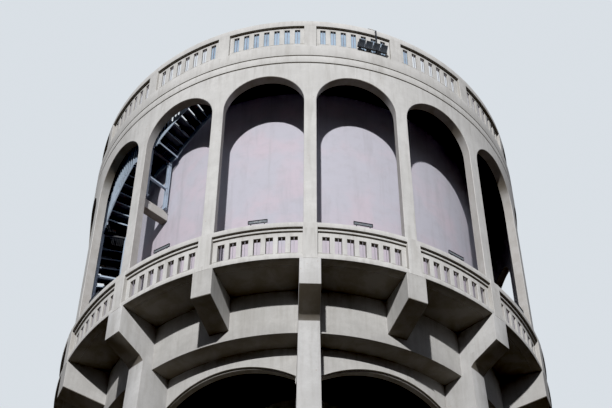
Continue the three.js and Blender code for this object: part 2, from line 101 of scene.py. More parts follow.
class Form:
    """A mesh on the bench: shapes are added, cut, bevelled and bent, and it becomes a piece."""

    def __init__(self, coat: int = 0) -> None:
        """Starts empty, with the index of the finish that new faces take."""
        self.bm = bmesh.new()
        self.coat = coat

    def everything(self) -> list:
        """All vertices, edges and faces."""
        return [*self.bm.verts, *self.bm.edges, *self.bm.faces]

    def sharp_edges(self, degrees: float) -> list:
        """The edges whose two faces turn by more than an angle."""
        limit = math.radians(degrees)
        return [edge for edge in self.bm.edges if edge.is_manifold and edge.calc_face_angle() > limit]

    def absorb(self, *others: "Form") -> "Form":
        """Takes in the meshes of other forms and frees those forms.

        Args:
            others: The forms to take in.

        Returns:
            This form.
        """
        for other in others:
            scratch = bpy.data.meshes.new("scratch")
            other.bm.to_mesh(scratch)
            other.bm.free()
            self.bm.from_mesh(scratch)
            bpy.data.meshes.remove(scratch)
        return self

    def paint(self, faces: Iterable) -> "Form":
        """Gives faces the form's present coat."""
        for face in faces:
            face.material_index = self.coat
        return self

    def bevel(self, parts: Iterable, width: float, segments: int = 1, affect: str = "EDGES") -> "Form":
        """Eases edges or corners.

        Args:
            parts: The edges or vertices to ease.
            width: Width of the easing on each side.
            segments: Number of faces across it.
            affect: Whether edges or vertices are eased.

        Returns:
            This form.
        """
        bmesh.ops.bevel(self.bm, geom=list(parts), offset=width, offset_type="OFFSET", segments=segments,
                        profile=0.5, affect=affect, clamp_overlap=True, material=-1)
        return self

    def spin(self, degrees: float, steps: int, merge: bool = False, copies: bool = False) -> "Form":
        """Spins everything round the tower's axis, into a surface or into copies."""
        bmesh.ops.spin(self.bm, geom=self.everything(), cent=AXIS, axis=UP, angle=math.radians(degrees),
                       steps=steps, use_merge=merge, use_duplicate=copies)
        return self

    def push(self, shift: Point3) -> "Form":
        """Extrudes all faces by a shift, points them outwards and paints them.

        Args:
            shift: How far, and where to.

        Returns:
            This form.
        """
        made = bmesh.ops.extrude_face_region(self.bm, geom=self.bm.faces[:])["geom"]
        bmesh.ops.translate(self.bm, vec=shift, verts=verts_in(made))
        bmesh.ops.recalc_face_normals(self.bm, faces=self.bm.faces)
        return self.paint(self.bm.faces)

    def block(self, low: Point3, high: Point3, chamfer: float = 0.0) -> "Form":
        """Adds a box between two corners.

        Args:
            low: Its lowest corner.
            high: Its highest corner.
            chamfer: Width of the easing of its edges.

        Returns:
            This form.
        """
        made = bmesh.ops.create_cube(self.bm, size=1.0)["verts"]
        start, end = Vector(low), Vector(high)
        bmesh.ops.scale(self.bm, vec=end - start, verts=made)
        bmesh.ops.translate(self.bm, vec=(start + end) / 2, verts=made)
        self.paint({face for vert in made for face in vert.link_faces})
        if chamfer > 0.0:
            self.bevel({edge for vert in made for edge in vert.link_edges}, chamfer)
        return self

    def lathed(self, profile: Sequence[Point], chamfer: float = 0.0, start: float = 0.0,
               end: float = 360.0) -> "Form":
        """Adds a closed outline of (radius, height) points, turned about the vertical axis.

        Args:
            profile: The outline's corners.
            chamfer: Width of the easing of its corners.
            start: Plan angle where the turning starts.
            end: Plan angle where it ends.

        Returns:
            This form.
        """
        part = Form(self.coat)
        corners = [part.bm.verts.new((0.0, -radius, height)) for radius, height in profile]
        part.bm.faces.new(corners)
        if chamfer > 0.0:
            part.bevel([corner for corner in corners if corner.co.y < -WELD], chamfer, 2, "VERTICES")
        part.turned(start)
        bmesh.ops.delete(part.bm, geom=part.bm.faces[:], context="FACES_ONLY")
        on_axis = [edge for edge in part.bm.edges if all(vert.co.xy.length < WELD for vert in edge.verts)]
        bmesh.ops.delete(part.bm, geom=on_axis, context="EDGES")
        part.spin(end - start, max(1, round((end - start) / STEP_ANGLE)), merge=end - start >= 360.0)
        return self.absorb(part.paint(part.bm.faces).weld().cap())

    def fin(self, profile: Sequence[Point], half_width: float, chamfer: float = 0.0) -> "Form":
        """Adds a plate that stands on the radius to the front.

        Args:
            profile: Its outline, in (radius, height) points.
            half_width: Half of its width across the radius.
            chamfer: Width of the easing of its edges.

        Returns:
            This form.
        """
        part = Form(self.coat)
        part.bm.faces.new([part.bm.verts.new((-half_width, -radius, height)) for radius, height in profile])
        part.push((2 * half_width, 0.0, 0.0))
        return self.absorb(part.bevel(part.bm.edges, chamfer) if chamfer > 0.0 else part)

    def bolt(self, radius: float, height: float, place: Matrix) -> "Form":
        """Adds a six-sided bolt head, which stands upwards from its place.

        Args:
            radius: Its radius over corners.
            height: Its height.
            place: Where its foot stands.

        Returns:
            This form.
        """
        made = bmesh.ops.create_cone(self.bm, cap_ends=True, segments=6, radius1=radius, radius2=radius,
                                     depth=height)["verts"]
        bmesh.ops.transform(self.bm, matrix=place @ Matrix.Translation((0.0, 0.0, height / 2)), verts=made)
        return self.paint({face for vert in made for face in vert.link_faces})

    def cap(self) -> "Form":
        """Closes every open end."""
        rims = [edge for edge in self.bm.edges if edge.is_boundary]
        if rims:
            self.paint(bmesh.ops.holes_fill(self.bm, edges=rims, sides=0)["faces"])
            bmesh.ops.recalc_face_normals(self.bm, faces=self.bm.faces)
        return self

    def cut(self, point: Vector, normal: Vector, clear_inner: bool = False,
            clear_outer: bool = False) -> "Form":
        """Cuts everything along a plane, and clears one side of it if that is asked for."""
        bmesh.ops.bisect_plane(self.bm, geom=self.everything(), dist=CUT_TOLERANCE, plane_co=point,
                               plane_no=normal, clear_inner=clear_inner, clear_outer=clear_outer)
        return self

    def quarter(self, offset: float) -> "Form":
        """Keeps the quarter of a ring that starts at a plan angle before the front, and closes its ends."""
        self.cut(AXIS, turn(-offset) @ ACROSS, clear_inner=True)
        return self.cut(AXIS, turn(QUARTER_ANGLE - offset) @ ACROSS, clear_outer=True).cap()

    def sheet(self, x_span: Point, z_span: Point, radius: float) -> "Form":
        """Adds one upright quad that faces the front.

        Args:
            x_span: Where it starts and ends along the arc.
            z_span: Where it starts and ends in height.
            radius: Its distance from the tower's axis.

        Returns:
            This form.
        """
        made = bmesh.ops.create_grid(self.bm, x_segments=1, y_segments=1, size=0.5)["verts"]
        bmesh.ops.rotate(self.bm, matrix=turn(90.0, "X"), verts=made)
        bmesh.ops.scale(self.bm, vec=(x_span[1] - x_span[0], 1.0, z_span[1] - z_span[0]), verts=made)
        bmesh.ops.translate(self.bm, vec=(sum(x_span) / 2, -radius, sum(z_span) / 2), verts=made)
        return self

    def outline(self, points: Sequence[Point], radius: float) -> "Form":
        """Adds one upright face from (x, height) corners, seen from the front at a radius."""
        self.bm.faces.new([self.bm.verts.new((x, -radius, height)) for x, height in points])
        return self

    def score(self, normal: Vector, positions: Iterable[float]) -> "Form":
        """Cuts all faces along planes across an axis."""
        for position in positions:
            self.cut(normal * position, normal)
        return self

    def strips(self, half_width: float, radius: float, degrees: float = STEP_ANGLE) -> "Form":
        """Cuts all faces into upright strips of an arc's width, so that the form can be bent."""
        count = max(1, math.ceil(2 * half_width / arc(radius, degrees)))
        return self.score(ACROSS, (half_width * (2 * i / count - 1) for i in range(1, count)))

    def pierce(self, hollow: Callable[[Vector], bool]) -> "Form":
        """Removes the faces whose middle is hollow.

        Args:
            hollow: Tells from a point whether it is hollow.

        Returns:
            This form.
        """
        gone = [face for face in self.bm.faces if hollow(face.calc_center_median())]
        bmesh.ops.delete(self.bm, geom=gone, context="FACES")
        return self

    def thicken(self, depth: float) -> "Form":
        """Gives a flat form its depth, away from the viewer."""
        return self.push((0.0, depth, 0.0))

    def open_ends(self, half_width: float) -> "Form":
        """Removes the walls at both ends of a bay, where the next bay joins on.

        Args:
            half_width: Half of the bay's width.

        Returns:
            This form.
        """
        ends = [face for face in self.bm.faces
                if all(abs(abs(vert.co.x) - half_width) < WELD for vert in face.verts)]
        bmesh.ops.delete(self.bm, geom=ends, context="FACES")
        return self

    def square_jambs(self, inner: float, outer: float, limit: float) -> "Form":
        """Sets the jambs' inner edges so that, once bent, both jambs stand parallel.

        Args:
            inner: Distance of the back face from the tower's axis.
            outer: Distance of the front face, along which x counts.
            limit: Half of the flat form's width.

        Returns:
            This form.
        """
        for vert in self.bm.verts:
            if abs(vert.co.y + inner) < WELD and abs(vert.co.x) < limit - WELD:
                vert.co.x = outer * math.asin(outer / inner * math.sin(vert.co.x / outer))
        return self

    def ease_front(self, radius: float, width: float,
                   keep: Callable[[Vector], bool] = lambda middle: True) -> "Form":
        """Bevels the sharp edges of the front face.

        Args:
            radius: Distance of the front face from the tower's axis.
            width: Width of the bevel.
            keep: Tells from an edge's middle whether it is bevelled.

        Returns:
            This form.
        """
        return self.bevel([edge for edge in self.sharp_edges(40.0)
                           if all(abs(vert.co.y + radius) < WELD for vert in edge.verts)
                           and keep((edge.verts[0].co + edge.verts[1].co) / 2)], width)

    def wrap(self, radius: float) -> "Form":
        """Bends the flat form round the tower's axis, with x as length of arc at a radius."""
        for vert in self.bm.verts:
            vert.co = turn(math.degrees(vert.co.x / radius)) @ Vector((0.0, vert.co.y, vert.co.z))
        return self

    def spread(self, count: int) -> "Form":
        """Repeats the form evenly round the tower's axis."""
        return self.spin(360.0 / count * (count - 1), count - 1, copies=True)

    def placed(self, place: Matrix) -> "Form":
        """Turns and moves the form."""
        bmesh.ops.transform(self.bm, matrix=place, verts=self.bm.verts)
        return self

    def turned(self, degrees: float) -> "Form":
        """Turns the form about the tower's axis."""
        return self.placed(turn(degrees))

    def weld(self) -> "Form":
        """Merges doubles and points all faces outwards."""
        bmesh.ops.remove_doubles(self.bm, verts=self.bm.verts, dist=WELD)
        bmesh.ops.recalc_face_normals(self.bm, faces=self.bm.faces)
        return self

    def mesh(self, name: str) -> bpy.types.Mesh:
        """Turns the form, which is used up, into a named mesh with smooth curves and crisp edges.

        Args:
            name: The mesh's name.

        Returns:
            The mesh.
        """
        made = bpy.data.meshes.new(name)
        self.bm.to_mesh(made)
        self.bm.free()
        made.shade_smooth()
        made.set_sharp_from_angle(angle=SMOOTH_LIMIT)
        return made


class NodeBoard:
    """The nodes of one material or of the world, added and linked from code."""

    def __init__(self, owner: bpy.types.ID) -> None:
        """Clears the owner's nodes and adds those that patterns start from.

        Args:
            owner: The material or world.
        """
        owner.use_nodes = True
        self.tree = owner.node_tree
        self.tree.nodes.clear()
        self.coordinates = self.add("TexCoord").outputs
        self.place = self.coordinates["Object"]

    def add(self, kind: str, inputs: dict | None = None, **settings: object) -> bpy.types.Node:
        """Adds a node.

        Args:
            kind: The node's type, without what all of them start with.
            inputs: A socket, number, vector or colour for each input; None leaves the input as it is.
            settings: The node's properties.

        Returns:
            The node.
        """
        node = self.tree.nodes.new("ShaderNode" + kind)
        for key, value in settings.items():
            setattr(node, key, value)
        for key, value in (inputs or {}).items():
            socket = node.inputs[key]
            if isinstance(value, Socket):
                self.tree.links.new(value, socket)
            elif value is not None:
                colour = socket.type == "RGBA"
                socket.default_value = (*value, 1.0) if colour else value
        return node

    def stretched(self, across: float, upright: float) -> Socket:
        """The object's coordinates, scaled across and upright."""
        scaled = self.add("Mapping", {"Vector": self.place, "Scale": (across, across, upright)})
        return scaled.outputs["Vector"]

    def noise(self, scale: float, detail: float = 4.0, roughness: float = 0.55,
              vector: Socket | None = None, distortion: float = 0.0) -> Socket:
        """A noise pattern.

        Args:
            scale: Number of its features in a metre.
            detail: Number of finer layers.
            roughness: Strength of the finer layers.
            vector: Coordinates, the object's own if not given.
            distortion: How far it is warped.

        Returns:
            Its value from 0 to 1.
        """
        return self.add("TexNoise", {"Vector": vector or self.place, "Scale": scale, "Detail": detail,
                                     "Roughness": roughness, "Distortion": distortion}).outputs["Fac"]

    def spots(self, scale: float) -> Socket:
        """Distance to the nearest of many scattered points."""
        return self.add("TexVoronoi", {"Vector": self.place, "Scale": scale}).outputs["Distance"]

    def ramp(self, value: object, start: float, end: float, low: float = 0.0, high: float = 1.0) -> Socket:
        """Maps a value from start..end to low..high, smoothly and without going past them."""
        return self.add("MapRange", {"Value": value, "From Min": start, "From Max": end, "To Min": low,
                                     "To Max": high}, interpolation_type="SMOOTHSTEP").outputs["Result"]

    def maths(self, operation: str, first: object, second: object = 0.0) -> Socket:
        """One sum on two values."""
        return self.add("Math", {0: first, 1: second}, operation=operation).outputs[0]

    def times(self, first: object, second: object) -> Socket:
        """The product of two values."""
        return self.maths("MULTIPLY", first, second)

    def off(self, value: object, middle: float) -> Socket:
        """How far a value is from a middle."""
        return self.maths("ABSOLUTE", self.maths("SUBTRACT", value, middle))

    def blend(self, factor: object, first: object, second: object) -> Socket:
        """Mixes two colours."""
        mixed = self.add("Mix", {"Factor": factor, "A": first, "B": second}, data_type="RGBA")
        return mixed.outputs["Result"]

    def vector_maths(self, operation: str, first: Socket, second: Socket | None = None) -> bpy.types.Node:
        """One sum on one or two vectors."""
        return self.add("VectorMath", {0: first, 1: second}, operation=operation)

    def upward(self, vector: Socket) -> Socket:
        """The upright part of a vector."""
        return self.add("SeparateXYZ", {0: vector}).outputs["Z"]

    def normal(self) -> Socket:
        """The surface's direction."""
        return self.add("NewGeometry").outputs["Normal"]

    def radius(self) -> Socket:
        """Distance from the tower's axis."""
        return self.vector_maths("LENGTH", self.stretched(1.0, 0.0)).outputs["Value"]

    def facing_down(self) -> Socket:
        """One on faces that look down, nought on a wall or a top."""
        return self.ramp(self.times(self.upward(self.normal()), -1.0), 0.25, 0.8)

    def sideways(self) -> Socket:
        """One on faces that look along the ring, nought on those that look out, in, up or down.

        Returns:
            The mask.
        """
        normal = self.normal()
        outward = self.vector_maths("NORMALIZE", self.stretched(1.0, 0.0)).outputs["Vector"]
        facing = self.maths("ABSOLUTE", self.vector_maths("DOT_PRODUCT", outward, normal).outputs["Value"])
        upright = self.maths("ABSOLUTE", self.upward(normal))
        return self.ramp(self.maths("MAXIMUM", facing, upright), 0.55, 0.25)

    def edges(self, width: float) -> Socket:
        """One on sharp edges, nought away from them."""
        soft = self.add("Bevel", {"Radius": width}, samples=4).outputs["Normal"]
        return self.ramp(self.vector_maths("DOT_PRODUCT", soft, self.normal()).outputs["Value"], 0.995, 0.90)

    def bumps(self, *layers: tuple[Socket, float, float]) -> Socket:
        """Bumps from (height, strength, distance) layers, each over the one before.

        Args:
            layers: The layers, the lowest first.

        Returns:
            The surface's direction with its bumps.
        """
        normal = None
        for height, strength, distance in layers:
            normal = self.add("Bump", {"Strength": strength, "Distance": distance, "Height": height,
                                       "Normal": normal}).outputs["Normal"]
        return normal


@dataclass(frozen=True)
class Finish:
    """A surface finish, made into a material once."""

    name: str

    def shade(self, board: NodeBoard) -> dict:
        """What the surface shader's inputs take; each kind of finish has its own nodes."""
        raise NotImplementedError

    def material(self) -> bpy.types.Material:
        """The finish's material, made when it is first asked for.

        Returns:
            The material.
        """
        made = bpy.data.materials.get(self.name)
        if made is None:
            made = bpy.data.materials.new(self.name)
            board = NodeBoard(made)
            shader = board.add("BsdfPrincipled", self.shade(board))
            board.add("OutputMaterial", {"Surface": shader.outputs["BSDF"]})
        return made


@dataclass(frozen=True)
class Concrete(Finish):
    """Smooth weathered concrete: mottled, with faint runs, rust specks, edge wear with a painted highlight,
    painted shade on side faces and painted brown shade on faces that look down.
    """

    light: Colour
    dark: Colour
    stain: Colour = (0.270, 0.255, 0.230)
    # painted shade: the brown-grey that faces looking down and faces looking along the ring are darkened
    # towards
    painted_shade: Colour = (0.185, 0.160, 0.125)
    # lighter colour for sharp edges: edge wear and a painted highlight
    worn_and_highlight: Colour = (0.700, 0.690, 0.670)
    rust: Colour = (0.330, 0.190, 0.100)
    streaks: float = 0.24
    # share of painted shade on faces that look along the ring
    side_shade: float = 0.42
    board: float = 0.16
    seams: float = 0.04
    ledges: tuple[float, ...] = ()
    run_length: float = 0.9
    sills: tuple[Point, ...] = ()

    def runs(self, board: NodeBoard, height: Socket) -> Socket:
        """Strength of the streaks that start at each ledge and fade going down.

        Args:
            board: The material's nodes.
            height: Height over the ground.

        Returns:
            The strength, from 0 to 1.
        """
        streak = board.noise(2.3, 5.0, 0.62, board.stretched(3.1, 0.16), 0.4)
        total: object = 0.0
        for ledge in self.ledges:
            under = board.maths("LESS_THAN", height, ledge + 0.002)
            fade = board.times(board.ramp(height, ledge - self.run_length, ledge), under)
            total = board.maths("MAXIMUM", total, fade)
        return board.times(total, board.ramp(streak, 0.50, 0.74))

    def dark_sill_lines(self, board: NodeBoard, height: Socket) -> Socket:
        """Strength of the thin broken dark lines along the sills, inside each sill's radius.

        Args:
            board: The material's nodes.
            height: Height over the ground.

        Returns:
            The strength, from 0 to 1.
        """
        total: object = 0.0
        for sill, reach in self.sills:
            inside = board.maths("LESS_THAN", board.radius(), reach)
            line = board.times(board.ramp(board.off(height, sill), 0.004, 0.020, 1.0, 0.0), inside)
            total = board.maths("MAXIMUM", total, line)
        return board.times(total, board.ramp(board.noise(5.0, 3.0), 0.40, 0.55))

    def boards(self, board: NodeBoard, height: Socket) -> tuple[Socket, Socket]:
        """The thin seams between the formwork's boards, and a tone for each board.

        Args:
            board: The material's nodes.
            height: Height over the ground.

        Returns:
            The seams' strength and the tone, both from 0 to 1.
        """
        row = board.maths("DIVIDE", height, self.board)
        margin = 0.006 / self.board
        seam = board.times(board.ramp(board.off(board.maths("FRACT", row), 0.5), 0.5 - margin, 0.5),
                           board.ramp(board.noise(0.9, 3.0), 0.42, 0.62))
        tone = board.add("TexWhiteNoise", {"W": board.maths("FLOOR", row)}, noise_dimensions="1D")
        return seam, tone.outputs["Value"]

    def shade(self, board: NodeBoard) -> dict:
        """Two tones, with a share of one coat after another over them: dirt, wear and rust, painted shade on
        side faces, edge wear with a painted highlight, and painted brown shade on faces that look down.

        Args:
            board: The material's nodes.

        Returns:
            What the shader's inputs take.
        """
        noise, ramp, times = board.noise, board.ramp, board.times
        height = board.upward(board.place)
        blotch = noise(1.9, 6.0, 0.6, distortion=0.4)
        mottle = noise(7.0, 5.0, 0.65)
        grain = noise(34.0, 6.0, 0.65)
        wide_streak = noise(1.3, 5.0, 0.6, board.stretched(1.7, 0.22), 0.5)
        fine_streak = noise(9.0, 4.0, 0.6, board.stretched(1.0, 0.10))
        pits = ramp(board.spots(21.0), 0.02, 0.11, 1.0, 0.0)
        seam, tone = self.boards(board, height)
        broad = ramp(board.maths("ADD", noise(0.33, 3.0), blotch), 0.75, 1.25)
        colour = board.blend(broad, self.dark, self.light)
        for mask, share, coat in (
                (tone, 0.08, self.dark),
                (ramp(mottle, 0.44, 0.66), 0.45, self.dark),
                (ramp(wide_streak, 0.52, 0.72), self.streaks, self.stain),
                (self.runs(board, height), 0.34, self.stain),
                (ramp(fine_streak, 0.45, 0.70), 0.16, self.stain),
                # painted shade on faces that look along the ring
                (times(board.sideways(), ramp(blotch, 0.25, 0.60, 0.35, 1.0)), self.side_shade, self.painted_shade),
                (ramp(grain, 0.40, 0.75), 0.10, self.stain),
                (pits, 0.22, self.stain),
                (seam, self.seams, self.stain),
                # sharp edges made lighter: edge wear and a painted highlight
                (times(board.edges(0.018), ramp(blotch, 0.35, 0.6)), 0.45, self.worn_and_highlight),
                # thin broken dark lines along the slots' sills
                (self.dark_sill_lines(board, height), 0.80, self.stain),
                (times(ramp(board.spots(9.0), 0.05, 0.20, 1.0, 0.0), ramp(noise(1.1, 4.0, 0.7), 0.56, 0.66)),
                 0.50, self.rust)):
            colour = board.blend(times(mask, share), colour, coat)
        # painted brown shade on faces that look down, broken up a little with stain
        painted_shade = board.blend(ramp(blotch, 0.35, 0.65), self.painted_shade, self.stain)
        colour = board.blend(board.facing_down(), colour, board.blend(0.35, painted_shade, self.painted_shade))
        normal = board.bumps((seam, 0.5, -0.003), (pits, 0.5, -0.004), (mottle, 0.25, 0.006),
                             (grain, 0.35, 0.003))
        return {"Base Color": colour, "Roughness": ramp(blotch, 0.3, 0.7, 0.78, 0.94), "Normal": normal,
                "Specular IOR Level": 0.25}


@dataclass(frozen=True)
class Plaster(Finish):
    """Limewashed plaster: mottled, with faint upright runs and hairline day joints."""

    warm: Colour = (0.560, 0.505, 0.575)
    cool: Colour = (0.510, 0.508, 0.580)
    grey: Colour = (0.420, 0.412, 0.460)
    lift: float = 1.35

    def shade(self, board: NodeBoard) -> dict:
        """A warm and a cool tone, greyed where the plaster is mottled or has run.

        Args:
            board: The material's nodes.

        Returns:
            What the shader's inputs take.
        """
        noise, ramp = board.noise, board.ramp
        height = board.upward(board.place)
        mottle = noise(3.4, 6.0, 0.65)
        trowel = noise(13.0, 5.0, 0.6, board.stretched(1.0, 0.55))
        run = noise(1.9, 5.0, 0.65, board.stretched(1.6, 0.16), 0.4)
        lifts = board.maths("FRACT", board.maths("DIVIDE", height, self.lift))
        joint = ramp(board.off(lifts, 0.5), 0.492, 0.5)
        drift = board.maths("SUBTRACT", noise(0.75, 5.0, 0.6, distortion=0.3),
                            ramp(height, level(1.0), level(6.5), 0.0, 0.16))
        colour = board.blend(ramp(drift, 0.30, 0.56), self.cool, self.warm)
        for mask in (ramp(mottle, 0.45, 0.75, 0.0, 0.35), ramp(run, 0.48, 0.70, 0.0, 0.50),
                     board.times(joint, 0.25)):
            colour = board.blend(mask, colour, self.grey)
        return {"Base Color": colour, "Roughness": ramp(mottle, 0.3, 0.7, 0.82, 0.95),
                "Normal": board.bumps((trowel, 0.4, 0.004), (joint, 0.4, -0.003)), "Specular IOR Level": 0.2}


@dataclass(frozen=True)
class Enamel(Finish):
    """Painted metal with dulled patches and rust where the paint has gone."""

    paint: Colour
    dull: Colour
    wear: float = 0.35
    roughness: float = 0.45
    rust: Colour = (0.165, 0.065, 0.028)

    def shade(self, board: NodeBoard) -> dict:
        """Paint with dull patches, drips of rust, and rust where the paint is gone.

        Args:
            board: The material's nodes.

        Returns:
            What the shader's inputs take.
        """
        patch = board.noise(2.7, 5.0, 0.6)
        grit = board.noise(23.0, 6.0, 0.7)
        drip = board.noise(9.0, 4.0, 0.6, board.stretched(1.6, 0.2))
        gone = board.times(board.ramp(board.times(patch, grit), 0.30, 0.37), self.wear)
        colour = board.blend(board.ramp(patch, 0.35, 0.7), self.paint, self.dull)
        colour = board.blend(board.ramp(drip, 0.56, 0.72, 0.0, 0.5 * self.wear), colour, self.rust)
        rough = board.ramp(board.maths("ADD", patch, gone), 0.3, 1.2, self.roughness, 0.9)
        return {"Base Color": board.blend(gone, colour, self.rust), "Roughness": rough,
                "Normal": board.bumps((grit, 0.25, 0.0012))}


@dataclass(frozen=True)
class Glass(Finish):
    """A lamp's pressed glass, seen against its reflector; its colour is the glass's own with a painted
    reflection of the sky.
    """

    # glass colour with a painted reflection of the sky
    tint_and_reflection: Colour
    dirt: Colour = (0.30, 0.28, 0.25)

    def shade(self, board: NodeBoard) -> dict:
        """Ribbed glass with a film of dust.

        Args:
            board: The material's nodes.

        Returns:
            What the shader's inputs take.
        """
        dust = board.noise(18.0, 4.0)
        return {"Base Color": board.blend(board.ramp(dust, 0.45, 0.75, 0.0, 0.5), self.tint_and_reflection, self.dirt),
                "Roughness": board.ramp(dust, 0.3, 0.7, 0.06, 0.3),
                "Normal": board.bumps((board.spots(70.0), 0.4, 0.004)), "Metallic": 0.55}


WALL = Concrete("wall_concrete", (0.655, 0.655, 0.652), (0.560, 0.559, 0.555), ledges=(level(7.876),))
TRIM = Concrete("trim_concrete", (0.655, 0.653, 0.648), (0.555, 0.552, 0.545), run_length=0.5,
                ledges=(level(9.72), level(8.70), level(1.035), level(0.14)),
                sills=((level(8.94), 6.51), (level(0.29), 6.62)))
BEAM = Concrete("beam_concrete", (0.520, 0.517, 0.510), (0.425, 0.422, 0.415), run_length=1.6, side_shade=0.0,
                ledges=(level(0.0), level(-1.366)))
PIER = Concrete("pier_concrete", (0.605, 0.608, 0.614), (0.505, 0.506, 0.507), run_length=2.4, side_shade=0.10,
                board=1.3, seams=0.30, ledges=(level(-0.836),))
# dark concrete whose near-black stain and downward colour paint the deep shade under the terrace floor and
# under the tank
SHADE_CEILING = Concrete("ceiling_painted_shade", (0.42, 0.41, 0.39), (0.30, 0.29, 0.27), (0.020, 0.018, 0.016),
                   (0.030, 0.027, 0.024))
SHAFT = Concrete("shaft_concrete", (0.50, 0.492, 0.475), (0.39, 0.382, 0.368), streaks=0.3, board=1.2,
                 seams=0.4)
TANK_PLASTER = Plaster("tank_plaster")
FLOOR_FINISH = Plaster("floor_finish", (0.72, 0.71, 0.69), (0.70, 0.695, 0.68), (0.67, 0.665, 0.65))
STAIR_PAINT = Enamel("stair_paint", (0.41, 0.50, 0.61), (0.32, 0.395, 0.49))
# near-black steel: painted shade on the treads, landing gratings, angle bars, upper trestle ties and
# stairwell curb
SHADE_STEEL = Enamel("steel_painted_shade", (0.045, 0.050, 0.060), (0.028, 0.031, 0.036), 0.5, 0.6)
BAR_PAINT = Enamel("bar_paint", (0.36, 0.34, 0.40), (0.26, 0.25, 0.29), 0.3)
SCREEN_PAINT = Enamel("screen_paint", (0.35, 0.465, 0.595), (0.275, 0.38, 0.50), 0.12, 0.5)
LAMP_ENAMEL = Enamel("lamp_enamel", (0.020, 0.023, 0.030), (0.035, 0.038, 0.045), 0.15, 0.32)
BEZEL = Enamel("lamp_bezel", (0.38, 0.42, 0.48), (0.24, 0.27, 0.32), 0.1, 0.35)
BOX_PAINT = Enamel("box_paint", (0.86, 0.86, 0.85), (0.76, 0.76, 0.74), 0.12)
# bluish glass colour that also paints the sky's reflection
LAMP_GLASS = Glass("lamp_glass", (0.17, 0.20, 0.25))
STRIP_GLASS = Glass("strip_glass", (0.30, 0.33, 0.36))
STEEL = [STAIR_PAINT, SHADE_STEEL]


def issue(mesh: bpy.types.Mesh, finishes: Sequence[Finish], nodes: Sequence[str] = ()) -> None:
    """Makes a finished mesh a piece of the tower and reports it.

    Args:
        mesh: The mesh, which also names the piece.
        finishes: Its finishes, in the order of its faces' coats.
        nodes: The CAD nodes that it stands for.
    """
    for finish in finishes:
        mesh.materials.append(finish.material())
    piece = bpy.data.objects.new(mesh.name, mesh)
    bpy.context.scene.collection.objects.link(piece)
    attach(piece, "root")
    if nodes:
        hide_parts(*nodes)
    LOG.info("%s: %d faces, replaces %s", piece.name, len(mesh.polygons), ", ".join(nodes) or "nothing")


def issue_quarters(form: Form, name: str, node: str, finishes: Sequence[Finish]) -> None:
    """Makes four concrete pieces of the front right quarter of a ring, one for each quarter.

    Args:
        form: The quarter.
        name: The pieces' name, before the number.
        node: The CAD nodes' name, before the number.
        finishes: Their finishes.
    """
    first = form.mesh(f"{name}_1")
    meshes = [first, *(first.copy() for _ in range(1, QUARTERS))]
    for k, mesh in enumerate(meshes):
        mesh.name = f"{name}_{k + 1}"
        mesh.transform(turn(QUARTER_ANGLE * k))
        issue(mesh, finishes, [f"{node}_{k + 1}"])


@dataclass(frozen=True)
class Rail:
    """A band round the tower, of one section."""

    inner: float
    outer: float
    base: float
    top: float
    top_outer: float | None = None
    chamfer: float = 0.010

    def ring(self, start: float = 0.0, end: float = 360.0, coat: int = 0) -> Form:
        """The band between two plan angles, in one coat."""
        upper = self.outer if self.top_outer is None else self.top_outer
        return Form(coat).lathed([(self.inner, self.base), (self.outer, self.base), (upper, self.top),
                                  (self.inner, self.top)], self.chamfer, start, end)


@dataclass
class ArchedWall:
    """A round wall with an arched opening in each bay; a bay is laid flat and then bent."""

    inner_radius: float
    outer_radius: float
    bays: int
    half_span: float
    base: float
    springing: float
    rise: float
    top: float
    easing: float = 0.012
    arch_steps: int = 28

    @property
    def half_width(self) -> float:
        """Half of the bay's length along the outer face."""
        return arc(self.outer_radius, 180.0 / self.bays)

    def face(self) -> Form:
        """The bay's front face: the arch line, carried out to the bay's edges, and the two legs.

        Returns:
            The flat face.
        """
        form = Form()
        bm, radius, corner_height = form.bm, self.outer_radius, self.top - self.springing
        crown_radius = (self.half_span ** 2 + self.rise ** 2) / (2 * self.rise)
        reach = math.asin(min(1.0, self.half_span / crown_radius))
        start = bm.verts.new((self.half_span, -radius, self.springing))
        bmesh.ops.spin(bm, geom=[start], cent=(0.0, -radius, self.springing + self.rise - crown_radius),
                       axis=(0, -1, 0), angle=2 * reach, steps=self.arch_steps, use_merge=False,
                       use_duplicate=False)
        border = verts_in(bmesh.ops.extrude_edge_only(bm, edges=bm.edges[:])["geom"])
        for vert in border:
            across, rise = Vector((vert.co.x, vert.co.z - self.springing))
            steep = rise * self.half_width > abs(across) * corner_height
            stretch = corner_height / rise if steep else self.half_width / abs(across)
            vert.co.x, vert.co.z = across * stretch, self.springing + rise * stretch
        for side in (-1, 1):
            corner = Vector((side * self.half_width, -radius, self.top))
            min(border, key=lambda vert: (vert.co - corner).length).co = corner
        if self.springing - self.base > WELD:
            feet = [edge for edge in bm.edges if all(abs(v.co.z - self.springing) < WELD for v in edge.verts)]
            for vert in verts_in(bmesh.ops.extrude_edge_only(bm, edges=feet)["geom"]):
                vert.co.z = self.base
        return form

    def bay(self) -> Form:
        """One bent bay, its middle at the front.

        Returns:
            The bay.
        """
        form = self.face().thicken(self.outer_radius - self.inner_radius)
        form.square_jambs(self.inner_radius, self.outer_radius, self.half_width)
        form.open_ends(self.half_width)
        form.ease_front(self.outer_radius, self.easing,
                        lambda middle: self.base < middle.z < self.top and abs(middle.x) < self.half_width)
        return form.strips(self.half_width, self.outer_radius).wrap(self.outer_radius)

    def ring(self) -> Form:
        """The whole wall, with a bay's edge at the front."""
        return self.bay().turned(180.0 / self.bays).spread(self.bays).weld()


@dataclass
class Arcade:
    """Sixteen round arches on slender columns."""

    wall: ArchedWall
    column_half_width: float = 0.176

    def build(self) -> None:
        """Makes the four quarters."""
        offset = math.degrees(self.column_half_width / self.wall.outer_radius)
        issue_quarters(self.wall.ring().quarter(offset), "arches", "arcade", [WALL])


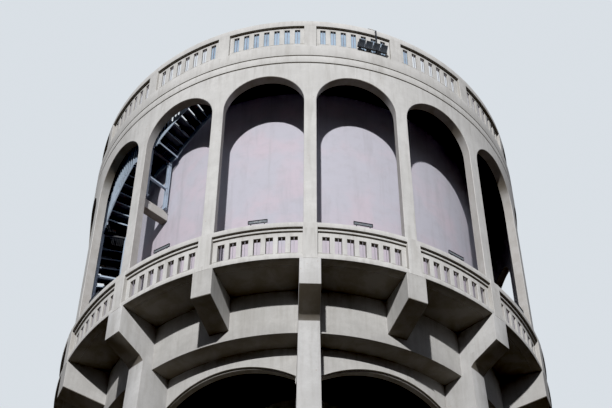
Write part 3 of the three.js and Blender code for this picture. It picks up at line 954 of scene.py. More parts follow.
@dataclass
class Balustrade:
    """Rails, piers, and panels with seven slots in each bay and a thin bar in each slot."""

    name: str
    node: str
    panel: Rail
    slot_base: float
    slot_top: float
    slot_width: float
    slot_pitch: float
    pier: Rail
    pier_half_width: float
    rails: tuple[Rail, ...]
    slots: int = 7
    lap: float = 0.02
    easing: float = 0.007
    bar_half_width: float = 0.006
    bar_setback: float = 0.020
    bar_depth: float = 0.012
    joint: float = 0.003

    def slotted(self) -> Form:
        """The slotted panel of one bay, its middle at the front.

        Returns:
            The panel with its bars.
        """
        panel, radius, half_slot = self.panel, self.panel.outer, self.slot_width / 2
        half = arc(radius, BAY_ANGLE / 2) - self.pier_half_width + self.lap
        middles = [arc(radius, self.slot_pitch * (i - (self.slots - 1) / 2)) for i in range(self.slots)]
        form = Form().sheet((-half, half), (panel.base - self.lap, panel.top + self.lap), radius)
        form.score(ACROSS, (middle + side * half_slot for middle in middles for side in (-1, 1)))
        form.score(UP, (self.slot_base, self.slot_top))
        form.pierce(lambda at: self.slot_base < at.z < self.slot_top
                    and any(abs(at.x - middle) < half_slot for middle in middles))
        form.thicken(radius - panel.inner).ease_front(radius, self.easing).strips(half, radius)
        front, form.coat = self.bar_setback - radius, 1
        for middle in middles:
            form.block((middle - self.bar_half_width, front, self.slot_base - self.lap),
                       (middle + self.bar_half_width, front + self.bar_depth, self.slot_top + self.lap))
        return form.wrap(radius)

    def build(self) -> None:
        """Makes the four quarters, with a pier at the front."""
        pier, half = self.pier, self.pier_half_width
        post = Form().block((-half, -pier.outer, pier.base), (half, -pier.inner, pier.top), self.easing)
        ring = self.slotted().turned(BAY_ANGLE / 2).absorb(post).spread(BAYS)
        ring.absorb(*(rail.ring() for rail in self.rails))
        offset = math.degrees(math.asin((half + self.joint) / pier.inner))
        issue_quarters(ring.quarter(offset), self.name, self.node, [TRIM, BAR_PAINT])


@dataclass
class GalleryRing:
    """The ring beam, the stepped arches under it and the brackets midway between the piers."""

    beam: Rail
    front_order: ArchedWall
    back_order: ArchedWall
    bracket: tuple[Point, ...]
    bracket_half_width: float = 0.258
    bracket_easing: float = 0.012
    seam: float = 0.2603

    def build(self) -> None:
        """Makes the four quarters."""
        ring = Form().fin(self.bracket, self.bracket_half_width, self.bracket_easing)
        ring.turned(PIER_ANGLE / 2).spread(PIERS)
        ring.absorb(self.beam.ring(), self.front_order.ring(), self.back_order.ring())
        offset = math.degrees(self.seam / self.beam.inner)
        issue_quarters(ring.quarter(offset), "ring_beam", "gallery_ring", [BEAM])


@dataclass
class Piers:
    """The eight leaning piers with their bracket heads."""

    inner: float = 4.69
    top_radius: float = 5.865
    foot_radius: float = 6.45
    half_width: float = 0.258
    foot_half_width: float = 0.46
    neck: float = level(-1.245)
    heel: Point = (5.985, level(-1.135))
    nose: Point = (6.6965, level(-0.836))
    top: float = level(0.030)
    easing: float = 0.014

    def pier(self) -> Form:
        """The pier at the front: one outline, widened towards the foot.

        Returns:
            The pier.
        """
        outline = [(self.inner, 0.0), (self.foot_radius, 0.0), (self.top_radius, self.neck), self.heel,
                   self.nose, (self.nose[0], self.top), (self.inner, self.top)]
        form = Form().fin(outline, self.half_width).score(UP, (self.neck,))
        foot = [vert for vert in form.bm.verts if vert.co.z < WELD]
        bmesh.ops.scale(form.bm, vec=(self.foot_half_width / self.half_width, 1.0, 1.0), verts=foot)
        return form.bevel(form.sharp_edges(10.0), self.easing, 2)

    def build(self) -> None:
        """Makes the eight piers."""
        for k in range(PIERS):
            mesh = self.pier().turned(PIER_ANGLE * k).mesh(f"leaning_pier_{k + 1}")
            issue(mesh, [PIER], [f"pier_{k + 1}"])


@dataclass
class TieRings:
    """The two arched rings that tie the piers together."""

    inner_radius: float = 4.68
    outer_radius: float = 5.03
    half_span: float = 1.69
    rise: float = 0.45
    depth: float = 0.85
    tops: tuple[tuple[str, float], ...] = (("lower_arch_ring", 8.6), ("middle_arch_ring", 16.3))

    def build(self) -> None:
        """Makes both rings."""
        for node, top in self.tops:
            springing = top - self.depth - self.rise
            wall = ArchedWall(self.inner_radius, self.outer_radius, PIERS, self.half_span, springing,
                              springing, self.rise, top)
            issue(wall.ring().mesh(node.replace("arch", "tie")), [BEAM], [node])


@dataclass
class Floors:
    """The gallery's floor and the terrace's, which is the gallery's ceiling."""

    gallery_radius: float = 6.4502
    gallery_base: float = level(0.0)
    gallery_top: float = level(0.18)
    vault_radius: float = 5.2
    terrace_radius: float = 6.3418
    terrace_base: float = level(8.05)
    terrace_top: float = level(8.247)
    well_start: float = -44.5
    well_end: float = -27.7
    well_inner: float = 5.44
    well_outer: float = 6.30

    def terrace(self) -> Form:
        """The terrace's floor with its stairwell.

        Returns:
            The floor.
        """
        form = Form()
        rims = (0.0, self.well_inner, self.well_outer, self.terrace_radius)
        chain = [form.bm.verts.new((0.0, -radius, self.terrace_base)) for radius in rims]
        for ends in zip(chain, chain[1:]):
            form.bm.edges.new(ends)
        form.spin(360.0, round(360.0 / STEP_ANGLE), merge=True).weld()
        for degrees in (self.well_start, self.well_end):
            form.cut(AXIS, turn(degrees) @ ACROSS)
        return form.pierce(self.in_well).push((0.0, 0.0, self.terrace_top - self.terrace_base))

    def in_well(self, at: Vector) -> bool:
        """Whether a point lies in the stairwell."""
        bearing = math.degrees(math.atan2(at.x, -at.y))
        return self.well_start < bearing < self.well_end and self.well_inner < at.xy.length < self.well_outer

    def build(self) -> None:
        """Makes both floors."""
        gallery = Form().lathed([(0.0, self.gallery_base), (self.vault_radius, self.gallery_base),
                                 (self.gallery_radius, self.gallery_base),
                                 (self.gallery_radius, self.gallery_top), (0.0, self.gallery_top)])
        # inside this radius the gallery floor's underside takes the near-black concrete: painted shade under
        # the tank
        for face in gallery.bm.faces:
            face.material_index = int(face.calc_center_median().xy.length < self.vault_radius)
        issue(gallery.mesh("gallery_slab"), [BEAM, SHADE_CEILING], ["gallery_floor"])
        issue(self.terrace().mesh("terrace_slab"), [SHADE_CEILING], ["terrace_floor"])


@dataclass
class Cornice:
    """The band between two thin grooves over the arches."""

    inner: float = 6.342
    outer: float = 6.592
    base: float = level(7.876)
    top: float = level(8.247)
    groove: float = 0.045
    easing: float = 0.004

    def build(self) -> None:
        """Makes the band."""
        back, low, high = self.outer - self.groove, self.base + self.groove, self.top - self.groove
        profile = [(self.inner, self.base), (back, self.base), (back, low), (self.outer, low),
                   (self.outer, high), (back, high), (back, self.top), (self.inner, self.top)]
        issue(Form().lathed(profile, self.easing).mesh("cornice_band"), [TRIM], ["cornice"])


@dataclass
class Tank:
    """The plastered wall of the tank, and the pale sheet behind the terrace's front slots."""

    wall: Rail
    screen_radius: float = 6.424
    screen_depth: float = 0.026
    screen_half_angle: float = 27.5
    screen_base: float = level(8.2473)
    screen_top: float = level(9.66)
    rib_pitch: float = 0.19
    rib_depth: float = 0.006

    def screen(self) -> Form:
        """A sheet with shallow upright folds.

        Returns:
            The sheet.
        """
        half = arc(self.screen_radius, self.screen_half_angle)
        form = Form().sheet((-half, half), (self.screen_base, self.screen_top), self.screen_radius)
        folds = [-half + self.rib_pitch * i for i in range(1, int(2 * half / self.rib_pitch))]
        form.score(ACROSS, sorted(folds + [fold + self.rib_pitch / 5 for fold in folds]))
        for vert in form.bm.verts:
            if any(abs(vert.co.x - fold) < WELD for fold in folds):
                vert.co.y += self.rib_depth
        return form.thicken(self.screen_depth - self.rib_depth).wrap(self.screen_radius)

    def build(self) -> None:
        """Makes the tank's wall and the sheet."""
        issue(self.wall.ring().mesh("plastered_tank"), [TANK_PLASTER], ["tank_wall"])
        issue(self.screen().mesh("pale_screen"), [SCREEN_PAINT], ["terrace_screen"])


@dataclass
class Shaft:
    """The round shaft in the middle, with a doorway and its raised surround at the foot."""

    radius: float = 1.50
    wall: float = 0.20
    top: float = level(-0.0003)
    door_half_width: float = 0.50
    door_height: float = 2.20
    surround: float = 0.12
    surround_depth: float = 0.03
    easing: float = 0.008
    step_angle: float = 7.5

    def doorway(self, half: float, top: float, radius: float, inner: float) -> Form:
        """A flat sheet of wall round the doorway.

        Args:
            half: Half of its length along the arc.
            top: Its height.
            radius: Its outer radius.
            inner: Its inner radius.

        Returns:
            The form.
        """
        jamb = radius * math.asin(self.door_half_width / radius)
        form = Form().sheet((-half, half), (0.0, top), radius)
        form.score(ACROSS, (-jamb, jamb)).score(UP, (self.door_height,))
        form.pierce(lambda at: abs(at.x) < jamb and at.z < self.door_height)
        return form.thicken(radius - inner).square_jambs(inner, radius, 2 * jamb)

    def build(self) -> None:
        """Makes the shaft and the surround."""
        radius, half = self.radius, math.pi * self.radius
        form = self.doorway(half, self.top, radius, radius - self.wall).open_ends(half)
        form.strips(half, radius, self.step_angle).wrap(radius).weld()
        issue(form.mesh("shaft"), [SHAFT], ["central_shaft"])
        outer, half = radius + self.surround_depth, self.door_half_width + self.surround
        form = self.doorway(half, self.door_height + self.surround, outer, radius - self.surround_depth)
        form.ease_front(outer, self.easing).strips(half, outer, self.step_angle).wrap(outer)
        issue(form.mesh("doorway_surround"), [WALL])


@dataclass
class Steelwork:
    """What the stair's flights, landings and trestles have in common."""

    node: str

    def finish(self, form: Form) -> None:
        """Makes a form the painted steel piece that stands for the node."""
        issue(form.mesh(self.node.replace("stair_", "steel_")), STEEL, [self.node])


@dataclass
class Flight(Steelwork):
    """Folded steel treads between two saw-tooth strings."""

    start: float
    start_level: float
    risers: int
    end_level: float
    inner: float = 5.50
    outer: float = 6.25
    tread_angle: float = 2.1
    plate: float = 0.014
    depth: float = 0.24
    foot: float = 0.1806
    sheet_metal: float = 0.006
    front_lip: float = 0.085
    back_lip: float = 0.047
    bolt_drop: float = 0.022
    bolt_size: Point = (0.011, 0.009)

    @property
    def rise(self) -> float:
        """Height of one step."""
        return (self.end_level - self.start_level) / self.risers

    def string(self, radius: float) -> Form:
        """A string whose outer face lies at a radius.

        Args:
            radius: Radius of its outer face.

        Returns:
            The string.
        """
        pitch, treads = arc(radius, self.tread_angle), self.risers - 1
        low = self.start_level + 0.5 * self.rise - self.depth
        points = [(0.0, level(low)), (treads * pitch, level(low + treads * self.rise))]
        for i in range(treads, 0, -1):
            top = level(self.start_level + i * self.rise)
            points += [(i * pitch, top), ((i - 1) * pitch, top)]
        form = Form().outline(points, radius).score(ACROSS, (i * pitch for i in range(1, treads)))
        return form.cut(UP * level(self.foot), UP, clear_inner=True).thicken(self.plate).wrap(radius)

    def tread(self, i: int) -> Form:
        """A tread whose plate and front lip take near-black steel, painted shade; its back lip, which the sun
        catches, keeps the stair's pale paint; two bolts at its outer end.

        Args:
            i: Its number, counted from 1.

        Returns:
            The tread.
        """
        top = level(self.start_level + i * self.rise)
        half = arc((self.inner + self.outer) / 2, self.tread_angle) / 2
        sheet, front, back = self.sheet_metal, self.plate / 2 - self.outer, -self.inner - self.plate / 2
        # plate and front lip in the near-black steel: painted shade
        form = Form(1)
        form.block((-half, front, max(top - self.front_lip, level(self.foot))), (-half + sheet, back, top))
        form.block((-half + sheet, front, top - sheet), (half - sheet, back, top))
        form.coat = 0
        form.block((half - sheet, front, top - self.back_lip), (half, back, top))
        for x in (-half / 2, half / 2):
            place = Matrix.Translation((x, -self.outer, top - self.bolt_drop))
            form.bolt(*self.bolt_size, place @ turn(90.0, "X"))
        return form.turned((i - 0.5) * self.tread_angle)

    def build(self) -> None:
        """Makes the flight."""
        form = self.string(self.outer).absorb(self.string(self.inner + self.plate))
        self.finish(form.absorb(*(self.tread(i) for i in range(1, self.risers))).turned(self.start))


@dataclass
class Landing(Steelwork):
    """A grating on two curved edge beams and cross beams."""

    start: float
    end: float
    top: float
    near_drop: float = 0.0
    inner: float = 5.50
    outer: float = 6.25
    plate: float = 0.014
    depth: float = 0.24
    bar_pitch: float = 0.045
    bar: float = 0.005
    bar_depth: float = 0.035
    tie_bars: int = 6
    tie_bar: float = 0.007
    tie_drop: float = 0.001
    flange: float = 0.06
    beam: float = 0.010
    beam_depth: float = 0.075
    near_depth: float = 0.055

    def curve(self, inner: float, outer: float, base: float, top: float, coat: int = 0) -> Form:
        """A curved bar along the landing."""
        return Rail(inner, outer, base, top, chamfer=0.0).ring(self.start, self.end, coat)

    def bar_across(self, low: Point, high: Point, inset: float, coat: int, degrees: float) -> Form:
        """A straight bar from beam to beam at a plan angle.

        Args:
            low: Its least distance along the landing and its underside.
            high: Its greatest distance along the landing and its top.
            inset: How far it stays inside the landing at each end.
            coat: Index of its finish.
            degrees: The plan angle.

        Returns:
            The bar.
        """
        return Form(coat).block((low[0], inset - self.outer, low[1]),
                                (high[0], -self.inner - inset, high[1])).turned(degrees)

    def grating(self) -> list[Form]:
        """Upright flat bars across the landing, tied by thin curved bars, all in near-black steel that paints
        their shade.

        Returns:
            The bars.
        """
        top, span = level(self.top), self.outer - self.inner - 2 * self.plate
        count = round(arc((self.inner + self.outer) / 2, self.end - self.start) / self.bar_pitch)
        inset = math.degrees(self.bar / 2 / self.inner)
        radii = [self.inner + self.plate + span * (i + 0.5) / self.tie_bars for i in range(self.tie_bars)]
        ties = [self.curve(radius, radius + self.tie_bar, top - self.tie_bar, top - self.tie_drop, 1)
                for radius in radii]
        low, high = (-self.bar / 2, top - self.bar_depth), (self.bar / 2, top)
        return ties + [self.bar_across(low, high, self.plate / 2, 1, self.start + inset
                                       + (self.end - self.start - 2 * inset) * i / count)
                       for i in range(count + 1)]

    def build(self) -> None:
        """Makes the landing, with an angle bar under each end's grating in near-black steel, painted shade,
        and a bar in the stair's pale paint at its near end.
        """
        top, low, half = level(self.top), level(self.top - self.depth), self.plate / 2
        form = self.curve(self.inner, self.inner + self.plate, low, top)
        form.absorb(self.curve(self.outer - self.plate, self.outer, low, top), *self.grating())
        under = level(self.top - self.bar_depth)
        # angle bars in the near-black steel: painted shade
        for degrees in (self.start, (self.start + self.end) / 2):
            form.absorb(self.bar_across((0.0, under - self.beam_depth), (self.beam, under), half, 1, degrees),
                        self.bar_across((0.0, under - self.beam), (self.flange, under), half, 1, degrees))
        near = top - self.near_drop
        near_bar = self.bar_across((-self.beam, near - self.near_depth), (0.0, near), self.plate, 0, self.end)
        self.finish(form.absorb(near_bar))


@dataclass
class Guard:
    """Upright bars and a handrail over the stair's outer edge."""

    radius: float = 6.232
    spacing: float = 0.115
    bar: float = 0.028
    height: float = 1.02
    reach: float = 0.26
    rail_height: float = 0.034
    rail_depth: float = 0.044

    def run(self, start: float, end: float, start_level: float, end_level: float) -> Form:
        """A straight run of guard between two plan angles and two levels.

        Args:
            start: Plan angle where it starts.
            end: Plan angle where it ends.
            start_level: Level of the walk where it starts.
            end_level: Level of the walk where it ends.

        Returns:
            The guard.
        """
        length, half = arc(self.radius, end - start), self.bar / 2
        count = max(2, round(length / self.spacing))
        form = Form()
        for i in range(count + 1):
            x = half + (length - self.bar) * i / count
            foot = level(start_level + (end_level - start_level) / length * x)
            form.block((x - half, -self.radius - half, foot - self.reach),
                       (x + half, half - self.radius, foot + self.height))
        low, high = level(self.height), level(self.height + self.rail_height)
        corners = [(0.0, start_level + low), (length, end_level + low), (length, end_level + high),
                   (0.0, start_level + high)]
        rail = Form().outline(corners, self.radius + self.rail_depth / 2)
        steps = math.ceil((end - start) / STEP_ANGLE)
        rail.score(ACROSS, (length * i / steps for i in range(1, steps))).thicken(self.rail_depth)
        return form.absorb(rail).wrap(self.radius).turned(start)


@dataclass
class Trestle(Steelwork):
    """Two posts with two tie bars, on base plates."""

    degrees: float
    foot: float
    head: float
    tie: float
    outer_turn: float = 0.0
    inner: float = 5.535
    outer: float = 6.215
    post: float = 0.07
    flange_half_width: float = 0.055
    metal: float = 0.009
    tie_height: float = 0.055
    gusset: float = 0.10
    base_plate: float = 0.012
    base_half_width: float = 0.095
    depth: float = 0.24
    gap: float = 0.0003
    easing: float = 0.002
    post_easing: float = 0.006
    bolt_size: Point = (0.012, 0.014)
    bolt_shares: Point = (0.8, 0.6)

    def h_post(self, radius: float, base: float, top: float) -> Form:
        """A broad-flanged post, its flanges facing along the ring.

        Args:
            radius: Distance from the tower's axis.
            base: Height of its foot.
            top: Height of its head.

        Returns:
            The post.
        """
        form, half, wide = Form(), self.post / 2, self.flange_half_width
        for face in (-half, half - self.metal):
            form.block((face, -radius - wide, base), (face + self.metal, wide - radius, top),
                       self.easing)
        return form.block((-half, -radius - self.metal / 2, base), (half, self.metal / 2 - radius, top))

    def foot_plate(self, radius: float, base: float) -> Form:
        """A base plate with four bolts.

        Args:
            radius: Distance from the tower's axis.
            base: Height of its underside.

        Returns:
            The plate.
        """
        half, reach, top = self.base_half_width, self.post / 2, base + self.base_plate
        form = Form().block((-half, -radius - reach, base), (half, reach - radius, top), self.easing)
        x, y = self.bolt_shares[0] * half, self.bolt_shares[1] * reach
        for at in ((-x, -y), (x, -y), (x, y), (-x, y)):
            form.bolt(*self.bolt_size, Matrix.Translation((at[0], at[1] - radius, top)))
        return form

    def tie_bar(self, low: float, coat: int) -> Form:
        """An angle bar between the posts, which meets the outer post where it stands.

        Args:
            low: Height of its underside.
            coat: Index of its finish.

        Returns:
            The bar.
        """
        half, reach = self.post / 2, self.inner - self.outer
        form = Form(coat).block((half - self.metal, reach, low), (half, 0.0, low + self.tie_height))
        form.block((-half, reach, low), (half - self.metal, 0.0, low + self.metal))
        aside = math.atan2(self.outer * math.sin(math.radians(self.outer_turn)), -reach)
        return form.placed(Matrix.Translation((0.0, -self.inner, 0.0)) @ turn(math.degrees(aside)))

    def build(self) -> None:
        """Makes the trestle; its outer post may stand a little to one side."""
        base, top = level(self.foot + self.gap), level(self.head - self.depth - self.gap)
        half, tie = self.post / 2, level(self.tie)
        form = Form().block((-half, -self.outer - half, base), (half, half - self.outer, top),
                            self.post_easing)
        form.absorb(self.foot_plate(self.outer, base)).turned(self.outer_turn)
        form.absorb(self.h_post(self.inner, base, top), self.foot_plate(self.inner, base))
        # the upper tie bar takes the near-black steel: painted shade
        form.absorb(self.tie_bar(tie, 0), self.tie_bar(top - self.tie_height, 1))
        inner, corner, gusset = self.inner, tie + self.tie_height, self.gusset
        form.fin([(inner, corner), (inner + gusset, corner), (inner, corner + gusset)], self.metal / 2)
        self.finish(form.turned(self.degrees))


@dataclass
class Stair:
    """The steel stair round the tank."""

    flights: tuple[Flight, ...]
    landings: tuple[Landing, ...]
    trestles: tuple[Trestle, ...]
    guard: Guard
    console_degrees: float = -48.4
    console_low: Point3 = (0.03, -6.32, level(4.27))
    console_high: Point3 = (0.26, -5.371, level(4.5997))
    console_easing: float = 0.010
    curb: Rail = Rail(6.2635, 6.2995, level(8.051), level(8.68), chamfer=0.0)
    curb_span: Point = (-44.3, -27.9)

    def guards(self) -> Form:
        """The guard along every flight and landing, and the curb plate of the stairwell in near-black steel,
        painted shade.

        Returns:
            The guards.
        """
        form = Form()
        for flight in self.flights:
            end = flight.start + (flight.risers - 1) * flight.tread_angle
            form.absorb(self.guard.run(flight.start, end, flight.start_level + flight.rise, flight.end_level))
        for landing in self.landings:
            form.absorb(self.guard.run(landing.start, landing.end, landing.top, landing.top))
        # curb plate in the near-black steel: painted shade over the stairwell's rim
        return form.absorb(self.curb.ring(*self.curb_span, coat=1))

    def build(self) -> None:
        """Makes every part of the stair, its guard and the console under it."""
        for part in (*self.flights, *self.landings, *self.trestles):
            part.build()
        issue(self.guards().mesh("stair_guard"), STEEL)
        console = Form().block(self.console_low, self.console_high, self.console_easing)
        console.turned(self.console_degrees)
        issue(console.mesh("console_slab"), [WALL], ["stair_console"])


@dataclass
class Floodlights:
    """A row of lamps outside the terrace's balustrade, hung from an arm on its coping."""

    degrees: float = 15.85
    radius: float = 6.610
    height: float = level(9.070)
    spacing: float = 0.226
    count: int = 4
    width: float = 0.205
    tall: float = 0.214
    depth: float = 0.110
    back_scale: float = 0.65
    tilt: float = 40.0
    glass_inset: float = 0.014
    glass_depth: float = 0.006
    bezel_depth: float = 0.02
    bezel_slope: float = 0.3
    fins: int = 5
    fin_half: float = 0.003
    fin_share: float = 0.55
    fin_reach: float = 0.022
    fin_root: float = 0.004
    yoke_half: float = 0.018
    yoke_gap: float = 0.004
    yoke_lap: float = 0.012
    yoke_top: float = 0.02
    yoke_foot: float = 0.015
    yoke_base: float = 0.030
    yoke_easing: float = 0.002
    rail_radius: float = 6.565
    rail_base: float = level(8.945)
    rail_top: float = level(8.985)
    arm_degrees: float = 17.0
    arm_half: float = 0.020
    arm_top: float = level(9.915)
    hook_drops: Point = (0.06, 0.02)
    plate_degrees: float = 16.1
    plate_half: float = 0.120
    plate_inner: float = 6.385
    coping: float = level(10.0003)
    coping_radius: float = 6.530
    plate: float = 0.020
    bolt_size: Point = (0.010, 0.012)
    bolt_share: float = 0.85
    bolt_rows: Point = (0.03, 0.12)
    box_degrees: float = 16.05
    box_half: float = 0.070
    box_inner: float = 6.385
    box_outer: float = 6.500
    box_height: float = 0.062
    box_easing: float = 0.005
    lid_lap: float = 0.003
    lid_span: Point = (0.060, 0.0745)
    easing: float = 0.004
    fine_easing: float = 0.003

    def frame_part(self) -> Form:
        """The rail, the arm and its hook, the plate and its bolts.

        Returns:
            The frame.
        """
        half, reach, rail = self.arm_half, self.spacing * self.count / 2, self.rail_radius
        edge, top, plate_half = self.coping_radius, self.coping + self.plate, self.plate_half
        hook_base, hook_top = (self.arm_top - drop for drop in self.hook_drops)
        form = Form().block((-reach, -rail - half, self.rail_base), (reach, half - rail, self.rail_top),
                            self.easing).turned(self.degrees)
        arm = Form().block((-half, -rail - 2 * half, self.rail_base), (half, -rail, self.arm_top),
                           self.easing)
        arm.block((-half, -rail, hook_base), (half, -edge, hook_top), self.fine_easing)
        plate = Form().block((-plate_half, -edge, self.coping), (plate_half, -self.plate_inner, top),
                             self.fine_easing)
        for row in self.bolt_rows:
            for x in (-self.bolt_share * plate_half, self.bolt_share * plate_half):
                plate.bolt(*self.bolt_size, Matrix.Translation((x, row - edge, top)))
        return form.absorb(arm.turned(self.arm_degrees), plate.turned(self.plate_degrees))

    def head(self) -> Form:
        """A lamp at the origin that shines along +Z: housing, glass, cooling fins and yoke.

        Returns:
            The lamp.
        """
        form = Form()
        half_w, half_t, half_d = self.width / 2, self.tall / 2, self.depth / 2
        form.block((-half_w, -half_t, -half_d), (half_w, half_t, half_d))
        back = [vert for vert in form.bm.verts if vert.co.z < 0]
        bmesh.ops.scale(form.bm, vec=(self.back_scale, self.back_scale, 1.0), verts=back)
        front = max(form.bm.faces, key=lambda face: face.calc_center_median().z)
        bmesh.ops.inset_region(form.bm, faces=[front], thickness=self.glass_inset, depth=0.0)
        bmesh.ops.translate(form.bm, vec=(0.0, 0.0, -self.glass_depth), verts=front.verts)
        form.bm.normal_update()
        for face in form.bm.faces:
            if face.calc_center_median().z > half_d - self.bezel_depth and face.normal.z > self.bezel_slope:
                face.material_index = 2
        front.material_index = 1
        rim = set(front.edges)
        form.bevel([edge for edge in form.sharp_edges(30.0) if edge not in rim], self.fine_easing, 2)
        for i in range(self.fins):
            x = (i - (self.fins - 1) / 2) * self.width * self.back_scale / self.fins
            form.block((x - self.fin_half, -half_t * self.fin_share, -half_d - self.fin_reach),
                       (x + self.fin_half, half_t * self.fin_share, -half_d + self.fin_root))
        wide, deep = half_w + self.yoke_gap, self.yoke_half
        for side in (-1, 1):
            low, high = sorted((side * wide, side * (half_w - self.yoke_lap)))
            form.block((low, -half_t - self.yoke_foot, -deep), (high, self.yoke_top, deep), self.yoke_easing)
        return form.block((-wide, -half_t - self.yoke_base, -deep), (wide, -half_t - self.yoke_lap, deep),
                          self.yoke_easing)

    def junction_box(self) -> Form:
        """The small pale box on the coping, with its lid.

        Returns:
            The box.
        """
        top, half, lap = self.coping + self.plate, self.box_half, self.lid_lap
        box = Form().block((-half, -self.box_outer, top), (half, -self.box_inner, top + self.box_height),
                           self.box_easing)
        box.block((-half - lap, -self.box_outer - lap, top + self.lid_span[0]),
                  (half + lap, lap - self.box_inner, top + self.lid_span[1]), self.easing)
        return box.turned(self.box_degrees)

    def build(self) -> None:
        """Makes the frame, the lamps and the junction box."""
        lamps, tilt = Form(), turn(90.0 + self.tilt, "X")
        for i in range(self.count):
            aside = (i - (self.count - 1) / 2) * self.spacing
            place = turn(self.degrees) @ Matrix.Translation((aside, -self.radius, self.height))
            lamps.absorb(self.head().placed(place @ tilt))
        issue(self.frame_part().mesh("lamp_frame"), [LAMP_ENAMEL], ["floodlight_bank"])
        issue(lamps.mesh("floodlights"), [LAMP_ENAMEL, LAMP_GLASS, BEZEL], ["floodlight_bank"])
        issue(self.junction_box().mesh("junction_box"), [BOX_PAINT])


@dataclass
class CopingLamps:
    """A slim lamp on the gallery's coping in the middle of each bay."""

    half_length: float = 0.245
    front: float = 6.655
    depth: float = 0.035
    base: float = level(1.345)
    top: float = level(1.452)
    coping: float = level(1.24)
    nudge: float = 0.1
    glass_inset: float = 0.028
    glass_depth: float = 0.018
    easing: float = 0.004
    foot_share: float = 0.7
    foot_half: float = 0.012
    foot_span: Point = (0.008, 0.030)
    foot_lap: float = 0.003

    def build(self) -> None:
        """Makes the sixteen lamps as one piece."""
        form, half, front = Form(), self.half_length, self.front
        form.block((-half, -front, self.base), (half, self.depth - front, self.top))
        face = min(form.bm.faces, key=lambda item: item.calc_center_median().y)
        bmesh.ops.inset_region(form.bm, faces=[face], thickness=self.glass_inset, depth=0.0)
        bmesh.ops.translate(form.bm, vec=(0.0, self.glass_depth, 0.0), verts=face.verts)
        face.material_index = 1
        glass_rim = set(face.edges)
        form.bevel([edge for edge in form.bm.edges if edge not in glass_rim], self.easing)
        for x in (-self.foot_share * half, self.foot_share * half):
            form.block((x - self.foot_half, self.foot_span[0] - front, self.coping),
                       (x + self.foot_half, self.foot_span[1] - front, self.base + self.foot_lap))
        form.turned(BAY_ANGLE / 2 + self.nudge).spread(BAYS)
        issue(form.mesh("coping_lamps"), [LAMP_ENAMEL, STRIP_GLASS])


@dataclass(frozen=True)
class Sun:
    """A distant lamp, with its angles in degrees."""

    name: str
    bearing: float
    height: float
    strength: float
    softness: float
    colour: Colour

    def build(self) -> None:
        """Hangs the lamp where it shines on the tower from its bearing."""
        data = bpy.data.lights.new(self.name, "SUN")
        data.energy = self.strength
        data.angle = math.radians(self.softness)
        data.color = self.colour
        lamp = bpy.data.objects.new(self.name, data)
        lamp.matrix_world = turn(self.bearing) @ turn(90.0 - self.height, "X")
        bpy.context.scene.collection.objects.link(lamp)


@dataclass
class Studio:
    """The plain floor, the light and the camera."""

    camera_place: Point3 = (-0.649, -28.913, 1.608)
    camera_yaw: float = 1.400
    camera_pitch: float = 47.53
    camera_roll: float = 0.268
    lens: float = 78.38
    camera_reach: float = 2000.0
    suns: tuple[Sun, ...] = (Sun("sun", -7.7, 23.0, 3.5, 1.5, (1.0, 0.985, 0.965)),
                             Sun("rear_light", 190.0, 32.0, 1.5, 20.0, (0.93, 0.96, 1.0)))
    low_sky: Colour = (0.020, 0.016, 0.013)
    high_sky: Colour = (0.270, 0.290, 0.330)
    backdrop: Colour = (0.70, 0.745, 0.79)
    floor_radius: float = 160.0
    black: float = 0.006

    def camera(self) -> None:
        """Puts the camera where the photograph was taken."""
        data = bpy.data.cameras.new("camera")
        data.lens = self.lens
        data.clip_end = self.camera_reach
        camera = bpy.data.objects.new("camera", data)
        camera.matrix_world = (Matrix.Translation(self.camera_place) @ turn(-self.camera_yaw)
                               @ turn(90.0 + self.camera_pitch, "X") @ turn(self.camera_roll))
        bpy.context.scene.collection.objects.link(camera)
        bpy.context.scene.camera = camera

    def sky(self) -> None:
        """A pale backdrop, which itself lights the tower only faintly, more from above than below."""
        world = bpy.data.worlds.new("studio")
        board = NodeBoard(world)
        rise = board.add("MapRange", {"Value": board.upward(board.coordinates["Generated"]),
                                      "From Min": 0.0, "From Max": 0.45}).outputs["Result"]
        fill = board.add("Background", {"Color": board.blend(rise, self.low_sky, self.high_sky)})
        backdrop = board.add("Background", {"Color": self.backdrop})
        seen = board.add("LightPath").outputs["Is Camera Ray"]
        either = board.add("MixShader", {0: seen, 1: fill.outputs[0], 2: backdrop.outputs[0]})
        board.add("OutputWorld", {"Surface": either.outputs[0]})
        bpy.context.scene.world = world

    def floor(self) -> None:
        """A plain pale floor that adds no light to the tower's soffits."""
        form = Form()
        bmesh.ops.create_circle(form.bm, cap_ends=True, segments=96, radius=self.floor_radius)
        mesh = form.mesh("floor")
        mesh.materials.append(FLOOR_FINISH.material())
        floor = bpy.data.objects.new("floor", mesh)
        floor.visible_diffuse = False
        floor.visible_glossy = False
        bpy.context.scene.collection.objects.link(floor)

    def build(self) -> None:
        """Sets up the camera, the light, the floor and how the picture's darkest tones are shown."""
        self.camera()
        for sun in self.suns:
            sun.build()
        self.sky()
        self.floor()
        view = bpy.context.scene.view_settings
        view.view_transform = "Standard"
        view.use_curve_mapping = True
        view.curve_mapping.black_level = (self.black, self.black, self.black)
        view.curve_mapping.update()


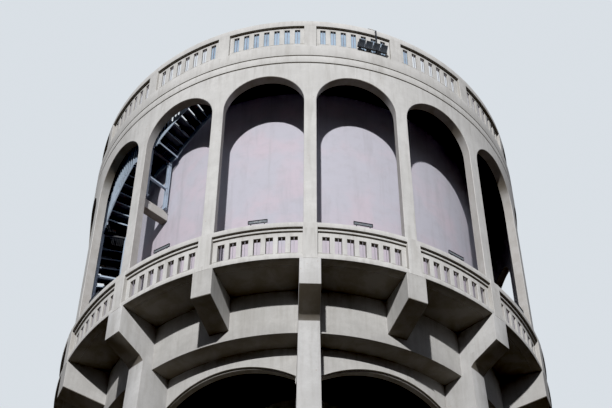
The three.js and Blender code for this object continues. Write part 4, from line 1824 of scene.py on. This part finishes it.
def build_tower() -> None:
    """Builds the tower's sub-assemblies in order, from the ground up."""
    Piers().build()
    TieRings().build()
    Shaft().build()
    GalleryRing(
        beam=Rail(4.68, 5.576, level(-1.366), level(-0.0003), chamfer=0.012),
        front_order=ArchedWall(4.965, 5.03, PIERS, 1.69, level(-2.40), level(-2.22), 0.45, level(-1.36),
                               easing=0.006),
        back_order=ArchedWall(4.82, 4.97, PIERS, 1.655, level(-2.40), level(-2.22), 0.415, level(-1.36),
                              easing=0.006),
        bracket=((5.50, level(-1.085)), (6.6965, level(-0.836)), (6.6965, level(0.030)),
                 (5.50, level(0.030)))).build()
    Floors().build()
    Balustrade(
        "gallery_rail", "gallery_balustrade", panel=Rail(6.465, 6.587, level(0.14), level(1.0)),
        slot_base=level(0.30), slot_top=level(0.845), slot_width=0.179, slot_pitch=2.63,
        pier=Rail(6.46, 6.700, level(0.0), level(1.24)), pier_half_width=0.178, rails=(
            Rail(6.4503, 6.696, level(0.0), level(0.14)),
            Rail(6.4503, 6.634, level(1.0), level(1.082), chamfer=0.006),
            Rail(6.342, 6.696, level(1.08), level(1.24)))).build()
    CopingLamps().build()
    Arcade(ArchedWall(6.342, 6.592, BAYS, 1.125, level(1.2403), level(6.21), 1.125, level(7.8757))).build()
    Cornice().build()
    Balustrade(
        "terrace_rail", "terrace_balustrade", panel=Rail(6.425, 6.480, level(8.70), level(9.72)),
        slot_base=level(8.95), slot_top=level(9.62), slot_width=0.152, slot_pitch=2.66,
        pier=Rail(6.34, 6.556, level(8.68), level(9.74)), pier_half_width=0.174, rails=(
            Rail(6.330, 6.592, level(8.2473), level(8.70)),
            Rail(6.330, 6.560, level(9.72), level(10.0), 6.535, 0.012))).build()
    Tank(Rail(5.17, 5.37, level(0.1803), level(8.0497))).build()
    Stair(
        flights=(Flight("stair_flight_1", -145.3, 0.18, 16, 2.95),
                 Flight("stair_flight_2", -107.5, 2.95, 16, 5.66),
                 Flight("stair_flight_3", -66.3, 5.66, 7, 6.83),
                 Flight("stair_flight_4", -42.4, 6.83, 8, 8.247, front_lip=0.125)),
        landings=(Landing("stair_landing_1", -113.8, -107.5, 2.95),
                  Landing("stair_landing_2", -76.0, -66.3, 5.66),
                  Landing("stair_landing_3", -53.7, -42.4, 6.83, near_drop=0.19)),
        trestles=(Trestle("stair_trestle_1", -110.6, 0.18, 2.95, 1.50),
                  Trestle("stair_trestle_2", -69.4, 0.18, 5.66, 3.70, -0.8),
                  Trestle("stair_trestle_3", -45.4, 4.60, 6.83, 5.39)),
        guard=Guard()).build()
    Floodlights().build()


def dress_nodes() -> None:
    """Gives the CAD nodes their finishes, also those that a piece stands for."""
    finishes = {"concrete": WALL, "plaster": TANK_PLASTER, "blue_steel": STAIR_PAINT,
                "dark_metal": LAMP_ENAMEL, "pale_sheet": SCREEN_PAINT}
    slots = {row["node"]: row["material_slot"] for row in frame["record"]["subparts"]}
    for name, node in frame["nodes"].items():
        node.data.materials.clear()
        node.data.materials.append(finishes[slots[name]].material())


def main() -> None:
    """Builds the studio and the tower."""
    logging.basicConfig(level=logging.INFO, format="%(message)s")
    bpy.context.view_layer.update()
    Studio().build()
    build_tower()
    dress_nodes()


if __name__ == "__main__":
    main()
